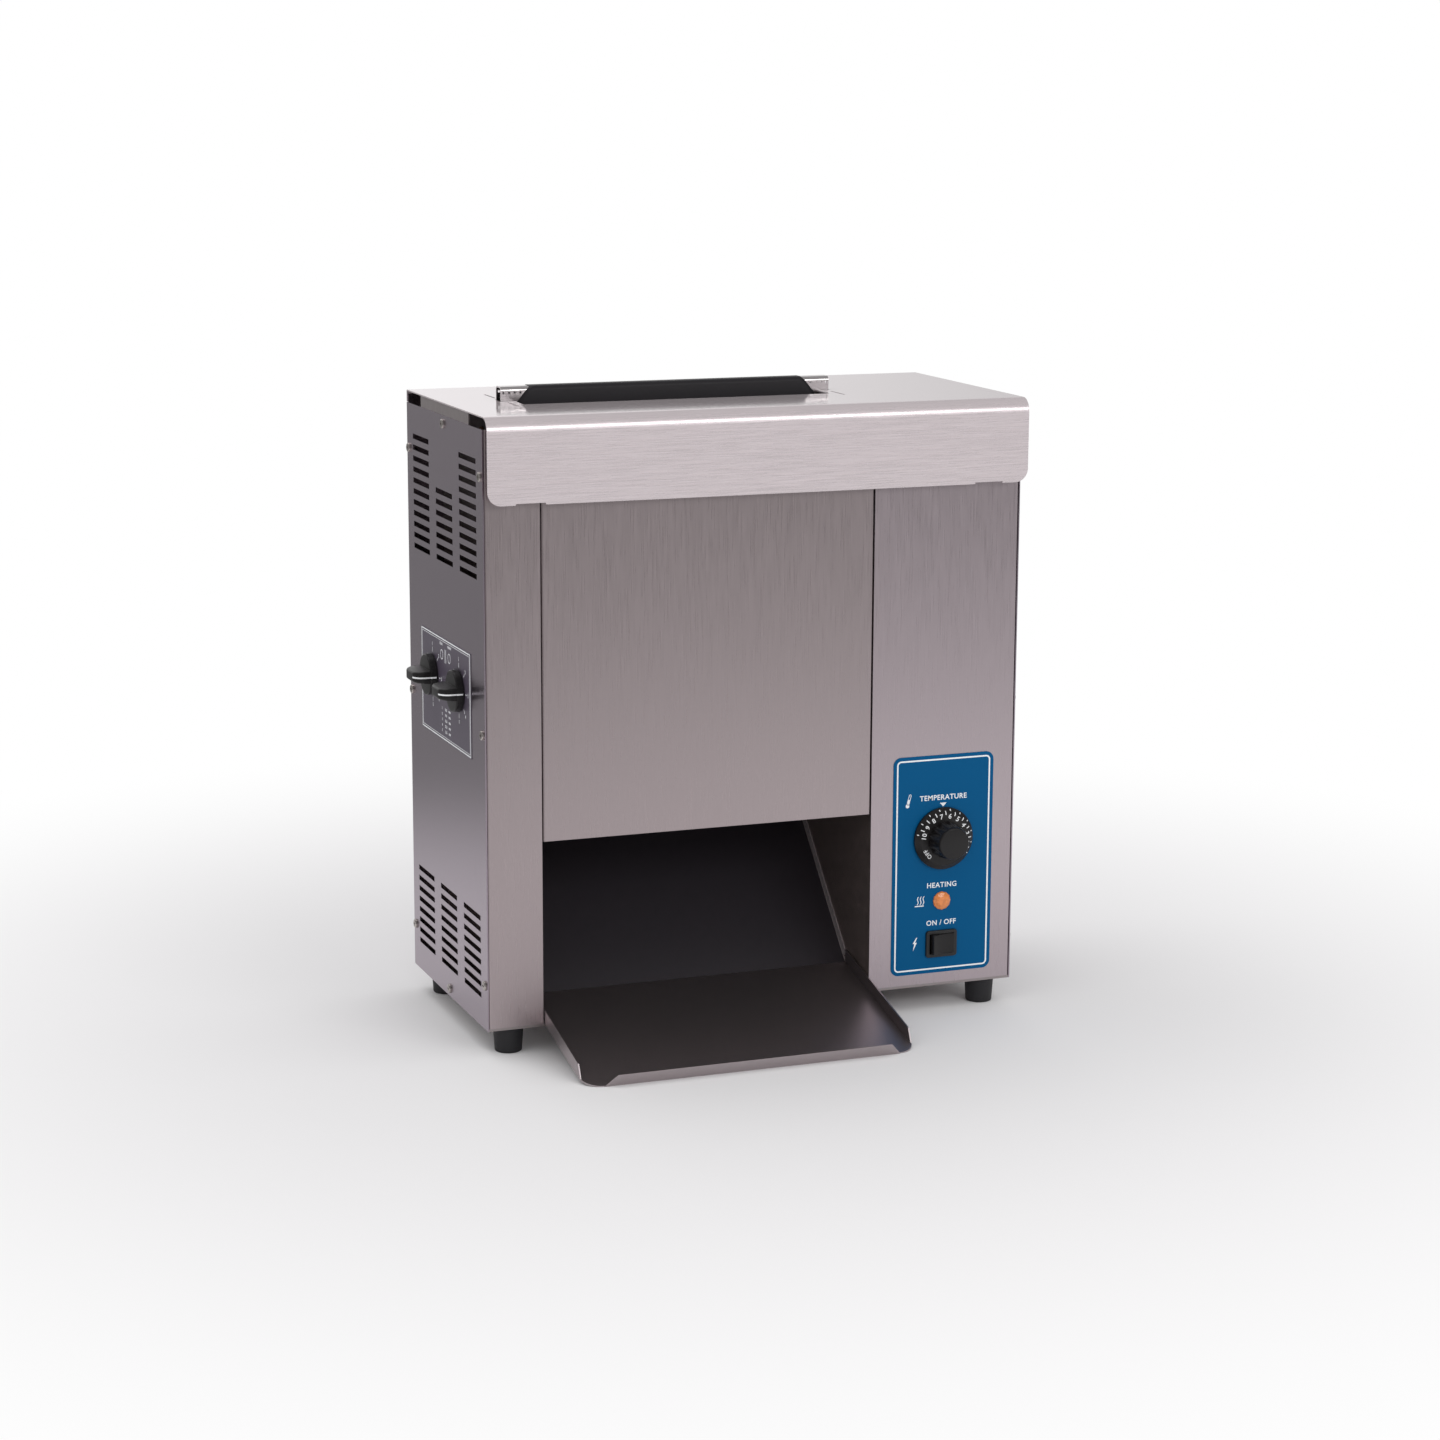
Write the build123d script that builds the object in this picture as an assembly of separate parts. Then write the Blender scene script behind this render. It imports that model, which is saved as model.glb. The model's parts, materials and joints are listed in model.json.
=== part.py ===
from build123d import *
import math
import os

# Vertical contact toaster for bun halves. Millimetres, +Z up, front towards -Y.
# Bun halves drop into the slot on top, two wire belts press them against the upright platen on
# their way down, and a chute brings them out at the front onto a tray.
# The pieces are modelled about the case: x = 0 at mid width, y = 0 at the front face and z = 0 under
# the case. The last step moves the whole part, so that its origin is under the middle of its box.

# Case: the lane stands between a left bay with the cam shafts' ends and a right bay with the drive
left_bay_width = 54.5
lane_width = 333.5
right_bay_width = 152.0
body_depth = 252.0
body_height = 577.7
sheet = 1.2
sheet_bend = 2.0
cover_recess = 12.1
case_flange = 18.0
pan_wall = 14.0
pan_hem = 1.3
seam_gap = 1.0

# Clearances and the overrun of every cut
running_gap = 0.05
free_gap = 0.4
overrun = 5.0

# Top cover
apron_reach = 16.0
apron_height = 80.2
apron_bend = 13.0
apron_corner = 13.0
notch_width = 28.7
notch_depth = 1.6
notch_inset = 41.0
slot_end_inset = 12.75
slot_width = 82.0
slot_lip = 15.0
tab_slit_length = 35.0
tab_slit_width = 2.0
tab_slit_inset = 3.0
tab_slit_spread = 76.0

# Divider that stands in the slot, and the release sheet over it
cap_rise = 13.3
cap_side_step = 1.0
cap_bend = 4.0
cap_hole_radius = 1.1
cap_hole_pitch = 5.5
cap_hole_drop = 5.5
cap_hole_count = 4
release_sheet_thickness = 0.5
release_sheet_inset = 14.75
release_sheet_corner = 14.0

# Bulkheads
shelf_inset = 46.0
shelf_lip = 28.0

# Side vents: rows and columns of slots in an upper and a lower field
vent_edge = 20.5
vent_gap = 23.0
vent_height = 5.0
vent_row_pitch = 10.65
vent_columns = 3
upper_vent_drop = 28.5
upper_vent_rows = 11
upper_vent_middle_rows = 7
lower_vent_top = 107.4
lower_vent_rows = 8

# Case screws
screw_head_radius = 4.6
screw_head_height = 2.2
screw_head_round_share = 0.6
screw_shank_radius = 2.0
screw_shank_length = 9.0
screw_recess_width = 1.2
screw_recess_depth = 1.0
front_screw_inset = 7.5
rear_screw_inset = 7.0
upper_screw_drop = 43.6
lower_screw_height = 43.0
top_screw_drop = 7.8
bottom_screw_height = 8.0

# Front cover of the lane, hung on a rod
discharge_height = 178.7
front_cover_flange = 10.0
hanger_drop = 27.5
hanger_radius = 4.0
knuckle_wall = 2.0
knuckle_width = 26.0
knuckle_inset = 56.75
knuckle_count = 3
front_cover_head = 9.0

# Feet
foot_height = 25.0
foot_top_radius = 15.0
foot_bottom_radius = 13.0
foot_bore_depth = 12.0
foot_bore_radius = 6.0
foot_side_inset = 25.0
foot_front_inset = 17.5
foot_rear_inset = 25.0

# Chute and tray
chute_foot_y = 56.0
chute_foot_z = 15.4
chute_angle = 46.2
chute_rear_gap = 30.1
chute_lip = 12.0
chute_flange = 7.0
tray_reach = 120.7
tray_front_drop = 24.0
tray_angle = 13.0
tray_flange = 13.0
tray_side_gap = 1.0
tray_corner = 19.0
tray_nose = 15.0
tray_lip_rise = 11.0
tray_lip_lean = 6.8
tray_lip_inset = 18.0
tray_lip_slope = 11.5
tray_seam = 1.5
tray_rest_width = 14.0
tray_rest_reach = 9.0

# Platen and its heating elements
platen_thickness = 18.0
platen_rise = 21.0
platen_side_gap = 10.5
heater_radius = 5.0
heater_count = 4
heater_tail = 12.0
heater_stub = 3.0
heater_terminal_radius = 1.7
heater_terminal_length = 6.0
bracket_width = 14.0
bracket_height = 26.0
bracket_inset = 4.0
bracket_thickness = 2.4

# Conveyor belts. The meshed gears sit on the lower shafts, so these are a pitch circle apart.
belt_turn_radius = 17.5
toast_gap = 21.0
drive_shaft_height = 215.0
belt_top_gap = 2.0
belt_rod_radius = 1.0
belt_strand_width = 4.0
belt_strand_thickness = 1.2
belt_strand_count = 5
belt_teeth = 8
belt_side_gap = 12.0
shaft_radius = 5.0
shaft_tail = 8.0
sprocket_width = 8.0
sprocket_count = 4
sprocket_tip = 0.8
sprocket_flare = 0.6
sprocket_seat_gap = 0.6
roller_gap = 0.5

# Bushings
bushing_wall = 3.0
bushing_flange_wall = 3.0
bushing_flange_height = 2.0
bushing_nose = 2.5

# Pressure plates and their cams
plate_thickness = 1.5
plate_belt_gap = 0.5
plate_travel = 5.0
plate_margin = 10.0
plate_side_margin = 14.0
ear_reach = 22.0
ear_height = 24.0
cam_rest_lift = 7.1
cam_height = 311.0
cam_shaft_radius = 4.0
cam_width = 10.0
cam_side_inset = 60.0
cam_turn = 180.0
cam_steps = 24
tie_rod_radius = 4.0
tie_rod_height_share = 0.57

# Pressure knobs
label_thickness = 0.5
knob_gap = 1.0
knob_skirt_radius = 20.0
knob_skirt_height = 7.0
knob_grip_reach = 15.5
knob_grip_length = 39.0
knob_grip_thickness = 13.0
knob_grip_round = 3.0
knob_end_round_share = 0.55
knob_wall = 4.0
side_label_length = 166.4
side_label_below = 58.4
side_label_above = 41.7
shaft_hole_gap = 1.5

# Drive gears, chain and gearmotor
gear_teeth = 35
gear_width = 10.0
gear_gap = 2.0
gear_backlash = 0.35
gear_root_share = 1.25
pressure_angle = 20.0
gear_hub_radius = 11.0
gear_hub_height = 3.0
chain_pitch = 9.525
chain_roller_radius = 2.5
chain_pin_radius = 1.6
chain_plate_height = 7.4
chain_plate_thickness = 1.0
chain_inner_width = 4.8
chain_straight_pitches = 16
chain_sprocket_teeth = 12
chain_sprocket_width = 4.0
chain_sprocket_tip = 2.0
chain_sprocket_flare = 1.5
chain_seat_gap = 0.35
chain_gap = 2.5
chain_sprocket_boss = 3.0
bracket_plate = 2.0
bracket_span = 84.0
bracket_rise = 76.0
bracket_foot = 10.0
bracket_gap = 3.0
gearbox_length = 38.0
gearbox_size = 70.0
gearbox_round = 6.0
motor_radius = 30.0
motor_cap_length = 6.0
motor_cap_radius = 24.0
motor_end_gap = 12.3

# Control column: the places are measured on the front face
label_width = 106.5
label_height = 219.0
label_right_inset = 22.5
label_bottom = 13.0
label_corner = 8.0
dial_height = 149.0
dial_radius = 31.0
dial_rim = 2.0
dial_skirt_depth = 6.0
dial_face_radius = 26.0
dial_grip_radius = 15.5
dial_grip_depth = 21.0
dial_flutes = 12
dial_flute_radius = 2.6
dial_flute_share = 1.05
stem_radius = 3.0
stem_length = 34.0
thermostat_size = 46.0
thermostat_depth = 30.0
thermostat_round = 5.75
lamp_height = 85.8
lamp_radius = 9.2
lamp_rim = 1.2
lamp_depth = 3.6
lamp_facets = 12
lamp_facet_share = 0.72
lamp_body_radius = 6.5
lamp_body_length = 26.0
lamp_nut_height = 3.6
switch_height = 42.6
bezel_width = 33.0
bezel_height = 27.0
bezel_depth = 2.6
bezel_corner = 3.0
bezel_round = 0.9
switch_body_width = 29.6
switch_body_height = 24.6
switch_body_depth = 26.0
switch_cavity_depth = 9.0
rocker_width = 23.6
rocker_height = 19.6
rocker_stand = 3.2
rocker_valley = 1.6
rocker_root = 5.0
rocker_root_width = 11.8
rocker_pivot = 2.2
rocker_pin_radius = 1.5
rocker_pin_length = 1.6
rocker_gap = 1.3
rocker_tilt = 8.0

# Terminal block and cord inlet
terminal_length = 62.0
terminal_depth = 22.0
terminal_height = 18.0
terminal_ways = 4
terminal_wall = 2.0
terminal_screw_radius = 3.5
terminal_screw_height = 3.0
terminal_right_inset = 85.0
terminal_rear_inset = 47.0
gland_right_inset = 65.0
gland_z = 62.0
gland_bore = 5.0
gland_wall = 3.0
gland_nose = 6.0
gland_nut_height = 9.0
gland_nut_radius = 13.0
gland_inner_length = 8.0
gland_locknut_height = 4.0

# Places that follow from the sizes above
body_width = left_bay_width + lane_width + right_bay_width
case_left = -body_width / 2
case_right = body_width / 2
inner_left = case_left + sheet
inner_right = case_right - sheet
lane_left = case_left + left_bay_width
lane_right = lane_left + lane_width
lane_mid = (lane_left + lane_right) / 2
mid_y = body_depth / 2
panel_top = body_height - cover_recess
cover_under = body_height - sheet
front_inside = sheet
rear_inside = body_depth - sheet
column_foot = sheet + pan_hem

upper_screw_height = panel_top - upper_screw_drop
middle_screw_height = (upper_screw_height + lower_screw_height) / 2
top_screw_height = panel_top - top_screw_drop
vent_length = (body_depth - 2 * vent_edge - (vent_columns - 1) * vent_gap) / vent_columns
vent_column_pitch = vent_length + vent_gap
upper_vent_top = panel_top - upper_vent_drop
slot_length = lane_width - 2 * slot_end_inset

belt_face_offset = platen_thickness / 2 + release_sheet_thickness + toast_gap
belt_line_offset = belt_face_offset + belt_rod_radius
drive_offset = belt_line_offset + belt_turn_radius
belt_pitch = 2 * belt_turn_radius * math.sin(math.pi / belt_teeth)
belt_head = slot_lip + belt_top_gap + belt_rod_radius + belt_turn_radius
belt_straight_pitches = math.floor((cover_under - belt_head - drive_shaft_height) / belt_pitch)
belt_straight = belt_straight_pitches * belt_pitch
idler_shaft_height = drive_shaft_height + belt_straight
belt_left = lane_left + belt_side_gap
belt_right = lane_right - belt_side_gap

platen_left = lane_left + platen_side_gap
platen_right = lane_right - platen_side_gap
platen_bottom = drive_shaft_height + platen_rise
platen_top = cover_under - slot_lip
heater_pitch = (platen_top - platen_bottom) / heater_count
cap_top = body_height + cap_rise
cap_thickness = platen_thickness - 2 * cap_side_step
release_sheet_length = lane_width - 2 * release_sheet_inset

tight_plate_offset = belt_line_offset + belt_rod_radius + plate_belt_gap
plate_offset = tight_plate_offset + plate_travel / 2
plate_back_offset = plate_offset + plate_thickness
cam_offset = plate_back_offset + free_gap + cam_rest_lift
cam_rate = plate_travel / math.radians(cam_turn)
tie_rod_height = cam_height + (idler_shaft_height - cam_height) * tie_rod_height_share
side_label_front = mid_y - side_label_length / 2
side_label_rear = mid_y + side_label_length / 2
side_label_bottom = cam_height - side_label_below
side_label_top = cam_height + side_label_above

gear_left = lane_right + sheet + bushing_flange_height + gear_gap
gear_right = gear_left + gear_width
chain_mid_x = gear_right + gear_hub_height + chain_gap + chain_inner_width / 2 + chain_plate_thickness
chain_radius = chain_pitch / (2 * math.sin(math.pi / chain_sprocket_teeth))
motor_height = drive_shaft_height + chain_straight_pitches * chain_pitch
chain_outer = chain_mid_x + chain_inner_width / 2 + 2 * chain_plate_thickness
bracket_face = chain_outer + chain_sprocket_boss + bracket_gap
gearbox_left = bracket_face + bracket_plate
gearbox_right = gearbox_left + gearbox_length
motor_length = inner_right - motor_end_gap - motor_cap_length - gearbox_right
motor_y = mid_y + drive_offset

label_right = case_right - label_right_inset
label_left = label_right - label_width
label_top = label_bottom + label_height
control_x = (label_left + label_right) / 2
label_front = -label_thickness
hanger_y = sheet + hanger_radius + running_gap + knuckle_wall / 2
hanger_z = body_height - apron_height + hanger_drop
terminal_x = case_right - terminal_right_inset
terminal_y = body_depth - terminal_rear_inset
gland_x = case_right - gland_right_inset

tray_slope = math.tan(math.radians(tray_angle))
tray_depth_shift = sheet / math.cos(math.radians(tray_angle))
chute_length = (rear_inside - chute_rear_gap - chute_foot_y) / math.cos(math.radians(chute_angle))
tray_rear = chute_foot_y - tray_seam
tray_left = lane_left + tray_side_gap
tray_right = lane_right - tray_side_gap


def block(x0, x1, y0, y1, z0, z1):
    """Box between two corners."""
    centre = Pos((x0 + x1) / 2, (y0 + y1) / 2, (z0 + z1) / 2)
    return centre * Box(abs(x1 - x0), abs(y1 - y0), abs(z1 - z0))


def rod_x(x0, x1, y, z, radius):
    """Round bar along X."""
    return Pos((x0 + x1) / 2, y, z) * Rot(0, 90, 0) * Cylinder(radius, abs(x1 - x0))


def rod_y(x, y0, y1, z, radius):
    """Round bar along Y."""
    return Pos(x, (y0 + y1) / 2, z) * Rot(90, 0, 0) * Cylinder(radius, abs(y1 - y0))


def rod_z(x, y, z0, z1, radius):
    """Round bar along Z."""
    return Pos(x, y, (z0 + z1) / 2) * Cylinder(radius, abs(z1 - z0))


def bent_sheet(plane, points, radius, side, width):
    """Sheet metal strip: a bent line through the points, thickened to one side and drawn out."""
    path = FilletPolyline(*points, radius=radius)
    outline = offset(path, amount=sheet, side=side, closed=True)
    return extrude(make_face(plane * outline), amount=width, dir=plane.z_dir)


def prism(plane, points, length):
    """Straight-sided outline drawn out along its plane's normal."""
    return extrude(make_face(plane * Polyline(*points, close=True)), amount=length, dir=plane.z_dir)


def rounded_plate(plane, width, height, corner, thickness):
    """Flat plate with rounded corners."""
    return extrude(plane * RectangleRounded(width, height, corner), amount=thickness)


def front_plane(y):
    """Plane that looks out of the front face, with X to the right and Z up."""
    return Plane(origin=(0, y, 0), x_dir=(1, 0, 0), z_dir=(0, -1, 0))


def fused(pieces):
    """One solid from pieces that touch or overlap."""
    return pieces[0].fuse(*pieces[1:]) if len(pieces) > 1 else pieces[0]


def both_lanes():
    """Sign of each lane seen from the platen: the front lane, then the rear lane."""
    return {"front": -1, "rear": 1}


def vent_field(top, rows, middle_rows):
    """Places (y, z) of the vent slots of one field."""
    places = []
    for column in range(vent_columns):
        y = mid_y + (column - (vent_columns - 1) / 2) * vent_column_pitch
        outer = column in (0, vent_columns - 1)
        first = 0 if outer else rows - middle_rows
        for row in range(first, rows):
            places.append((y, top - row * vent_row_pitch))
    return places


def side_screw_places():
    """Places (y, z) of the screws of a side panel."""
    heights = (lower_screw_height, middle_screw_height, upper_screw_height)
    places = [(front_screw_inset, z) for z in heights]
    places += [(body_depth - rear_screw_inset, z) for z in heights]
    places += [(mid_y, top_screw_height), (mid_y, bottom_screw_height)]
    return places


def pan_screw(shank_length):
    """Round-headed screw with a cross recess, its seat at z = 0 and its head above."""
    head = Pos(0, 0, screw_head_height / 2) * Cylinder(screw_head_radius, screw_head_height)
    rim = head.edges().group_by(Axis.Z)[-1]
    head = fillet(rim, radius=screw_head_height * screw_head_round_share)
    shank = Pos(0, 0, -shank_length / 2) * Cylinder(screw_shank_radius, shank_length)
    recess_z = screw_head_height - screw_recess_depth / 2
    reach = screw_head_radius
    recess = Pos(0, 0, recess_z) * Box(reach, screw_recess_width, screw_recess_depth)
    recess += Pos(0, 0, recess_z) * Box(screw_recess_width, reach, screw_recess_depth)
    return fused([head, shank]) - recess


def base_pan():
    """Floor of the case, with walls on three sides and a hem along the front."""
    floor = block(inner_left, inner_right, 0, body_depth, 0, sheet)
    hem = block(inner_left, inner_right, 0, pan_wall, 0, column_foot)
    wall_front = case_flange + sheet
    wall_rear = body_depth - case_flange - sheet
    left_wall = block(inner_left, inner_left + sheet, wall_front, wall_rear, 0, pan_wall)
    right_wall = block(inner_right - sheet, inner_right, wall_front, wall_rear, 0, pan_wall)
    pan = fused([floor, hem, left_wall, right_wall])
    for x in (inner_left, inner_right):
        pan -= rod_x(x - overrun, x + overrun, mid_y, bottom_screw_height, screw_shank_radius)
    for x, y in foot_places():
        pan -= rod_z(x, y, -overrun, overrun, screw_shank_radius)
    return pan


def foot_places():
    """Places (x, y) of the feet."""
    places = []
    for y in (foot_front_inset, body_depth - foot_rear_inset):
        places.append((case_left + foot_side_inset, y))
        places.append((case_right - foot_side_inset, y))
    return places


def rubber_feet():
    """Four tapered rubber feet with a counterbore from below."""
    feet = []
    for x, y in foot_places():
        cone = Cone(foot_bottom_radius, foot_top_radius, foot_height)
        foot = Pos(x, y, -foot_height / 2) * cone
        foot -= rod_z(x, y, -foot_height - overrun, -foot_height + foot_bore_depth, foot_bore_radius)
        foot -= rod_z(x, y, -foot_height, overrun, screw_shank_radius)
        feet.append(foot)
    return Compound(feet)


def foot_screws():
    """One screw up through each foot into the base pan."""
    seat = -foot_height + foot_bore_depth
    length = -seat + screw_shank_length
    return Compound([Pos(x, y, seat) * Rot(180, 0, 0) * pan_screw(length) for x, y in foot_places()])


def shaft_places():
    """Places (y, z, radius) where a shaft passes through both bulkheads."""
    places = []
    for sign in both_lanes().values():
        places.append((mid_y + sign * drive_offset, drive_shaft_height, shaft_radius))
        places.append((mid_y + sign * drive_offset, idler_shaft_height, shaft_radius))
        places.append((mid_y + sign * cam_offset, cam_height, cam_shaft_radius))
    return places


def bulkhead(inner, outward):
    """Wall between the lane and a side bay, with a shelf under the top cover out to the side panel.

    inner is the face towards the lane, outward the sign of the way to the side panel."""
    outer = inner + outward * sheet
    panel = inner_right if outward > 0 else inner_left
    wall = block(inner, outer, front_inside, rear_inside, sheet, cover_under)
    shelf_front = shelf_inset
    shelf_rear = body_depth - shelf_inset
    shelf = block(outer, panel, shelf_front, shelf_rear, cover_under - sheet, cover_under)
    lip = block(panel - outward * sheet, panel, shelf_front, shelf_rear, cover_under - shelf_lip, cover_under)
    tab_end = outer + outward * case_flange
    tab = block(outer, tab_end, rear_inside - sheet, rear_inside, sheet, panel_top)
    wall = fused([wall, shelf, lip, tab, tray_rest(inner, outward)])
    wall -= block(inner - overrun, inner + overrun, -overrun, pan_wall, 0, column_foot)
    corner = cover_under - sheet_bend
    bend_front = rear_inside - sheet_bend
    wall -= block(inner - overrun, inner + overrun, bend_front, body_depth, corner, body_height)
    for x, z in rear_screw_places():
        wall -= rod_y(x, rear_inside - overrun, body_depth, z, screw_shank_radius)
    for y, z, radius in shaft_places():
        wall -= rod_x(inner - overrun, inner + overrun, y, z, radius + running_gap + bushing_wall)
    wall -= rod_x(panel - overrun, panel + overrun, mid_y, top_screw_height, screw_shank_radius)
    if outward > 0:
        for z in heater_heights():
            wall -= rod_x(inner - overrun, inner + overrun, mid_y, z, heater_radius + free_gap)
    return wall


def side_panel(outside, outward):
    """Side panel with two fields of vent slots."""
    inside = outside - outward * sheet
    panel = block(outside, inside, 0, body_depth, 0, panel_top)
    places = vent_field(upper_vent_top, upper_vent_rows, upper_vent_middle_rows)
    places += vent_field(lower_vent_top, lower_vent_rows, lower_vent_rows)
    cuts = []
    for y, z in places:
        half = vent_length / 2
        cuts.append(block(outside - overrun, outside + overrun, y - half, y + half, z - vent_height, z))
    for y, z in side_screw_places():
        cuts.append(rod_x(outside - overrun, outside + overrun, y, z, screw_shank_radius))
    if outward < 0:
        for sign in both_lanes().values():
            hole = cam_shaft_radius + shaft_hole_gap
            y = mid_y + sign * cam_offset
            cuts.append(rod_x(outside - overrun, outside + overrun, y, cam_height, hole))
    return panel.cut(*cuts)


def side_screws(outside, outward):
    """Screws of one side panel, their heads on its outer face."""
    turn = Rot(0, 90 * outward, 0)
    screw = turn * pan_screw(screw_shank_length)
    return Compound([Pos(outside, y, z) * screw for y, z in side_screw_places()])


def rear_screw_places():
    """Places (x, z) of the screws of the rear cover, in line with the bulkheads' rear tabs."""
    places = []
    for x in (lane_left - case_flange / 2, lane_right + case_flange / 2):
        for z in (lower_screw_height, middle_screw_height, upper_screw_height):
            places.append((x, z))
    return places


def rear_cover():
    """Rear cover: a sheet with a flange inside each side panel."""
    points = [(inner_left, body_depth - case_flange), (inner_left, body_depth)]
    points += [(inner_right, body_depth), (inner_right, body_depth - case_flange)]
    cover = bent_sheet(Plane.XY.offset(sheet), points, sheet_bend, Side.RIGHT, panel_top - sheet)
    for x in (case_left, case_right):
        for z in (lower_screw_height, middle_screw_height, upper_screw_height):
            y = body_depth - rear_screw_inset
            cover -= rod_x(x - overrun, x + overrun, y, z, screw_shank_radius)
    for x, z in rear_screw_places():
        cover -= rod_y(x, body_depth - overrun, body_depth + overrun, z, screw_shank_radius)
    thread = gland_bore + gland_wall
    cover -= rod_y(gland_x, body_depth - overrun, body_depth + overrun, gland_z, thread)
    return cover


def rear_cover_screws():
    """Screws on the face of the rear cover."""
    screw = Rot(-90, 0, 0) * pan_screw(screw_shank_length)
    return Compound([Pos(x, body_depth, z) * screw for x, z in rear_screw_places()])


def front_left_column():
    """Narrow front sheet left of the lane, flanged along the side panel and along the bulkhead."""
    points = [(inner_left, case_flange), (inner_left, 0), (lane_left, 0)]
    column = bent_sheet(Plane.XY.offset(column_foot), points, sheet_bend, Side.LEFT, panel_top - column_foot)
    for z in (lower_screw_height, middle_screw_height, upper_screw_height):
        column -= rod_x(case_left - overrun, case_left + overrun, front_screw_inset, z, screw_shank_radius)
    return column


def control_column():
    """Wide front sheet right of the lane, with the openings of the controls."""
    points = [(lane_right, 0), (inner_right, 0), (inner_right, case_flange)]
    column = bent_sheet(Plane.XY.offset(column_foot), points, sheet_bend, Side.LEFT, panel_top - column_foot)
    for z in (lower_screw_height, middle_screw_height, upper_screw_height):
        column -= rod_x(case_right - overrun, case_right + overrun, front_screw_inset, z, screw_shank_radius)
    return column.cut(*control_cuts())


def control_cuts():
    """Openings of the stem, the lamp and the switch, cut through the column and its label."""
    cuts = [rod_y(control_x, -overrun, overrun, dial_height, stem_radius + shaft_hole_gap)]
    cuts.append(rod_y(control_x, -overrun, overrun, lamp_height, lamp_body_radius))
    cuts.append(switch_frame(switch_body_width, switch_body_height, -overrun, overrun))
    return cuts


def control_label():
    """Label plate on the control column."""
    middle_z = (label_bottom + label_top) / 2
    plane = Plane(origin=(control_x, 0, middle_z), x_dir=(1, 0, 0), z_dir=(0, -1, 0))
    plate = rounded_plate(plane, label_width, label_height, label_corner, label_thickness)
    return plate.cut(*control_cuts())


def adjustment_label():
    """Label plate round the two pressure knobs."""
    face = case_left - label_thickness
    plate = block(face, case_left, side_label_front, side_label_rear, side_label_bottom, side_label_top)
    for sign in both_lanes().values():
        hole = cam_shaft_radius + shaft_hole_gap
        plate -= rod_x(face - overrun, face + overrun, mid_y + sign * cam_offset, cam_height, hole)
    return plate


def top_cover():
    """Top sheet and front apron in one bend, with the feed slot, its lips and the tab slits."""
    rear = body_depth
    points = [(rear, panel_top + free_gap), (rear, body_height), (-apron_reach, body_height)]
    points.append((-apron_reach, body_height - apron_height))
    cover = bent_sheet(Plane.YZ.offset(case_left), points, [sheet_bend, apron_bend], Side.LEFT, body_width)
    apron_foot = body_height - apron_height
    corner_edges = cover.edges().filter_by(Axis.Y).group_by(Axis.Z)[0]
    cover = fillet(corner_edges, radius=apron_corner)
    slot_left = lane_mid - slot_length / 2
    slot_right = lane_mid + slot_length / 2
    slot_front = mid_y - slot_width / 2
    slot_rear = mid_y + slot_width / 2
    low = cover_under - overrun
    high = body_height + overrun
    cuts = [block(slot_left, slot_right, slot_front, slot_rear, low, high)]
    cap_half = cap_thickness / 2 + seam_gap
    cap_left = lane_left - seam_gap
    cap_right = lane_right + seam_gap
    cuts.append(block(cap_left, cap_right, mid_y - cap_half, mid_y + cap_half, low, high))
    for x in (lane_left + tab_slit_inset, lane_right - tab_slit_inset):
        for sign in both_lanes().values():
            y = mid_y + sign * tab_slit_spread / 2
            half = tab_slit_length / 2
            half_slit = tab_slit_width / 2
            cuts.append(block(x - half_slit, x + half_slit, y - half, y + half, low, high))
    for x in (case_left + notch_inset, case_right - notch_inset):
        half = notch_width / 2
        out = -apron_reach - overrun
        cuts.append(block(x - half, x + half, out, sheet - apron_reach, apron_foot, apron_foot + notch_depth))
    cover = cover.cut(*cuts)
    lip_foot = cover_under - slot_lip
    front_lip = block(slot_left, slot_right, slot_front - sheet, slot_front, lip_foot, body_height)
    rear_lip = block(slot_left, slot_right, slot_rear, slot_rear + sheet, lip_foot, body_height)
    return fused([cover, front_lip, rear_lip])


def knuckle_places():
    """X places of the front cover's hanging knuckles."""
    step = (lane_width - 2 * knuckle_inset) / (knuckle_count - 1)
    return [lane_left + knuckle_inset + step * index for index in range(knuckle_count)]


def front_cover():
    """Front cover of the lane: a shallow tray of sheet, hung on a rod by curled knuckles."""
    left = lane_left + seam_gap
    right = lane_right - seam_gap
    foot = discharge_height
    top = hanger_z + front_cover_head
    points = [(left, front_cover_flange), (left, 0), (right, 0), (right, front_cover_flange)]
    shell = bent_sheet(Plane.XY.offset(foot), points, sheet_bend, Side.LEFT, top - foot)
    inner = left + sheet_bend
    floor = block(inner, right - sheet_bend, 0, front_cover_flange, foot, foot + sheet)
    pieces = [shell, floor]
    bore = hanger_radius + running_gap
    for x in knuckle_places():
        half = knuckle_width / 2
        pieces.append(rod_x(x - half, x + half, hanger_y, hanger_z, bore + knuckle_wall))
    return fused(pieces) - rod_x(left - overrun, right + overrun, hanger_y, hanger_z, bore)


def cover_hanger_rod():
    """Rod between the bulkheads that the front cover hangs on."""
    return rod_x(lane_left, lane_right, hanger_y, hanger_z, hanger_radius)


def platen():
    """Upright cast platen with a bore for each heating element."""
    half = platen_thickness / 2
    plate = block(platen_left, platen_right, mid_y - half, mid_y + half, platen_bottom, platen_top)
    bores = []
    bore = heater_radius + running_gap
    for z in heater_heights():
        bores.append(rod_x(platen_left - overrun, platen_right + overrun, mid_y, z, bore))
    return plate.cut(*bores)


def heater_heights():
    """Heights of the heating elements, spread about the middle of the platen."""
    middle = (platen_bottom + platen_top) / 2
    return [middle + (index - (heater_count - 1) / 2) * heater_pitch for index in range(heater_count)]


def heating_elements():
    """Tubular elements through the platen, with a thin terminal at the right-hand end."""
    elements = []
    for z in heater_heights():
        tube = rod_x(platen_left - heater_stub, lane_right + sheet + heater_tail, mid_y, z, heater_radius)
        start = lane_right + sheet + heater_tail
        terminal = rod_x(start, start + heater_terminal_length, mid_y, z, heater_terminal_radius)
        elements.append(fused([tube, terminal]))
    return Compound(elements)


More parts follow.
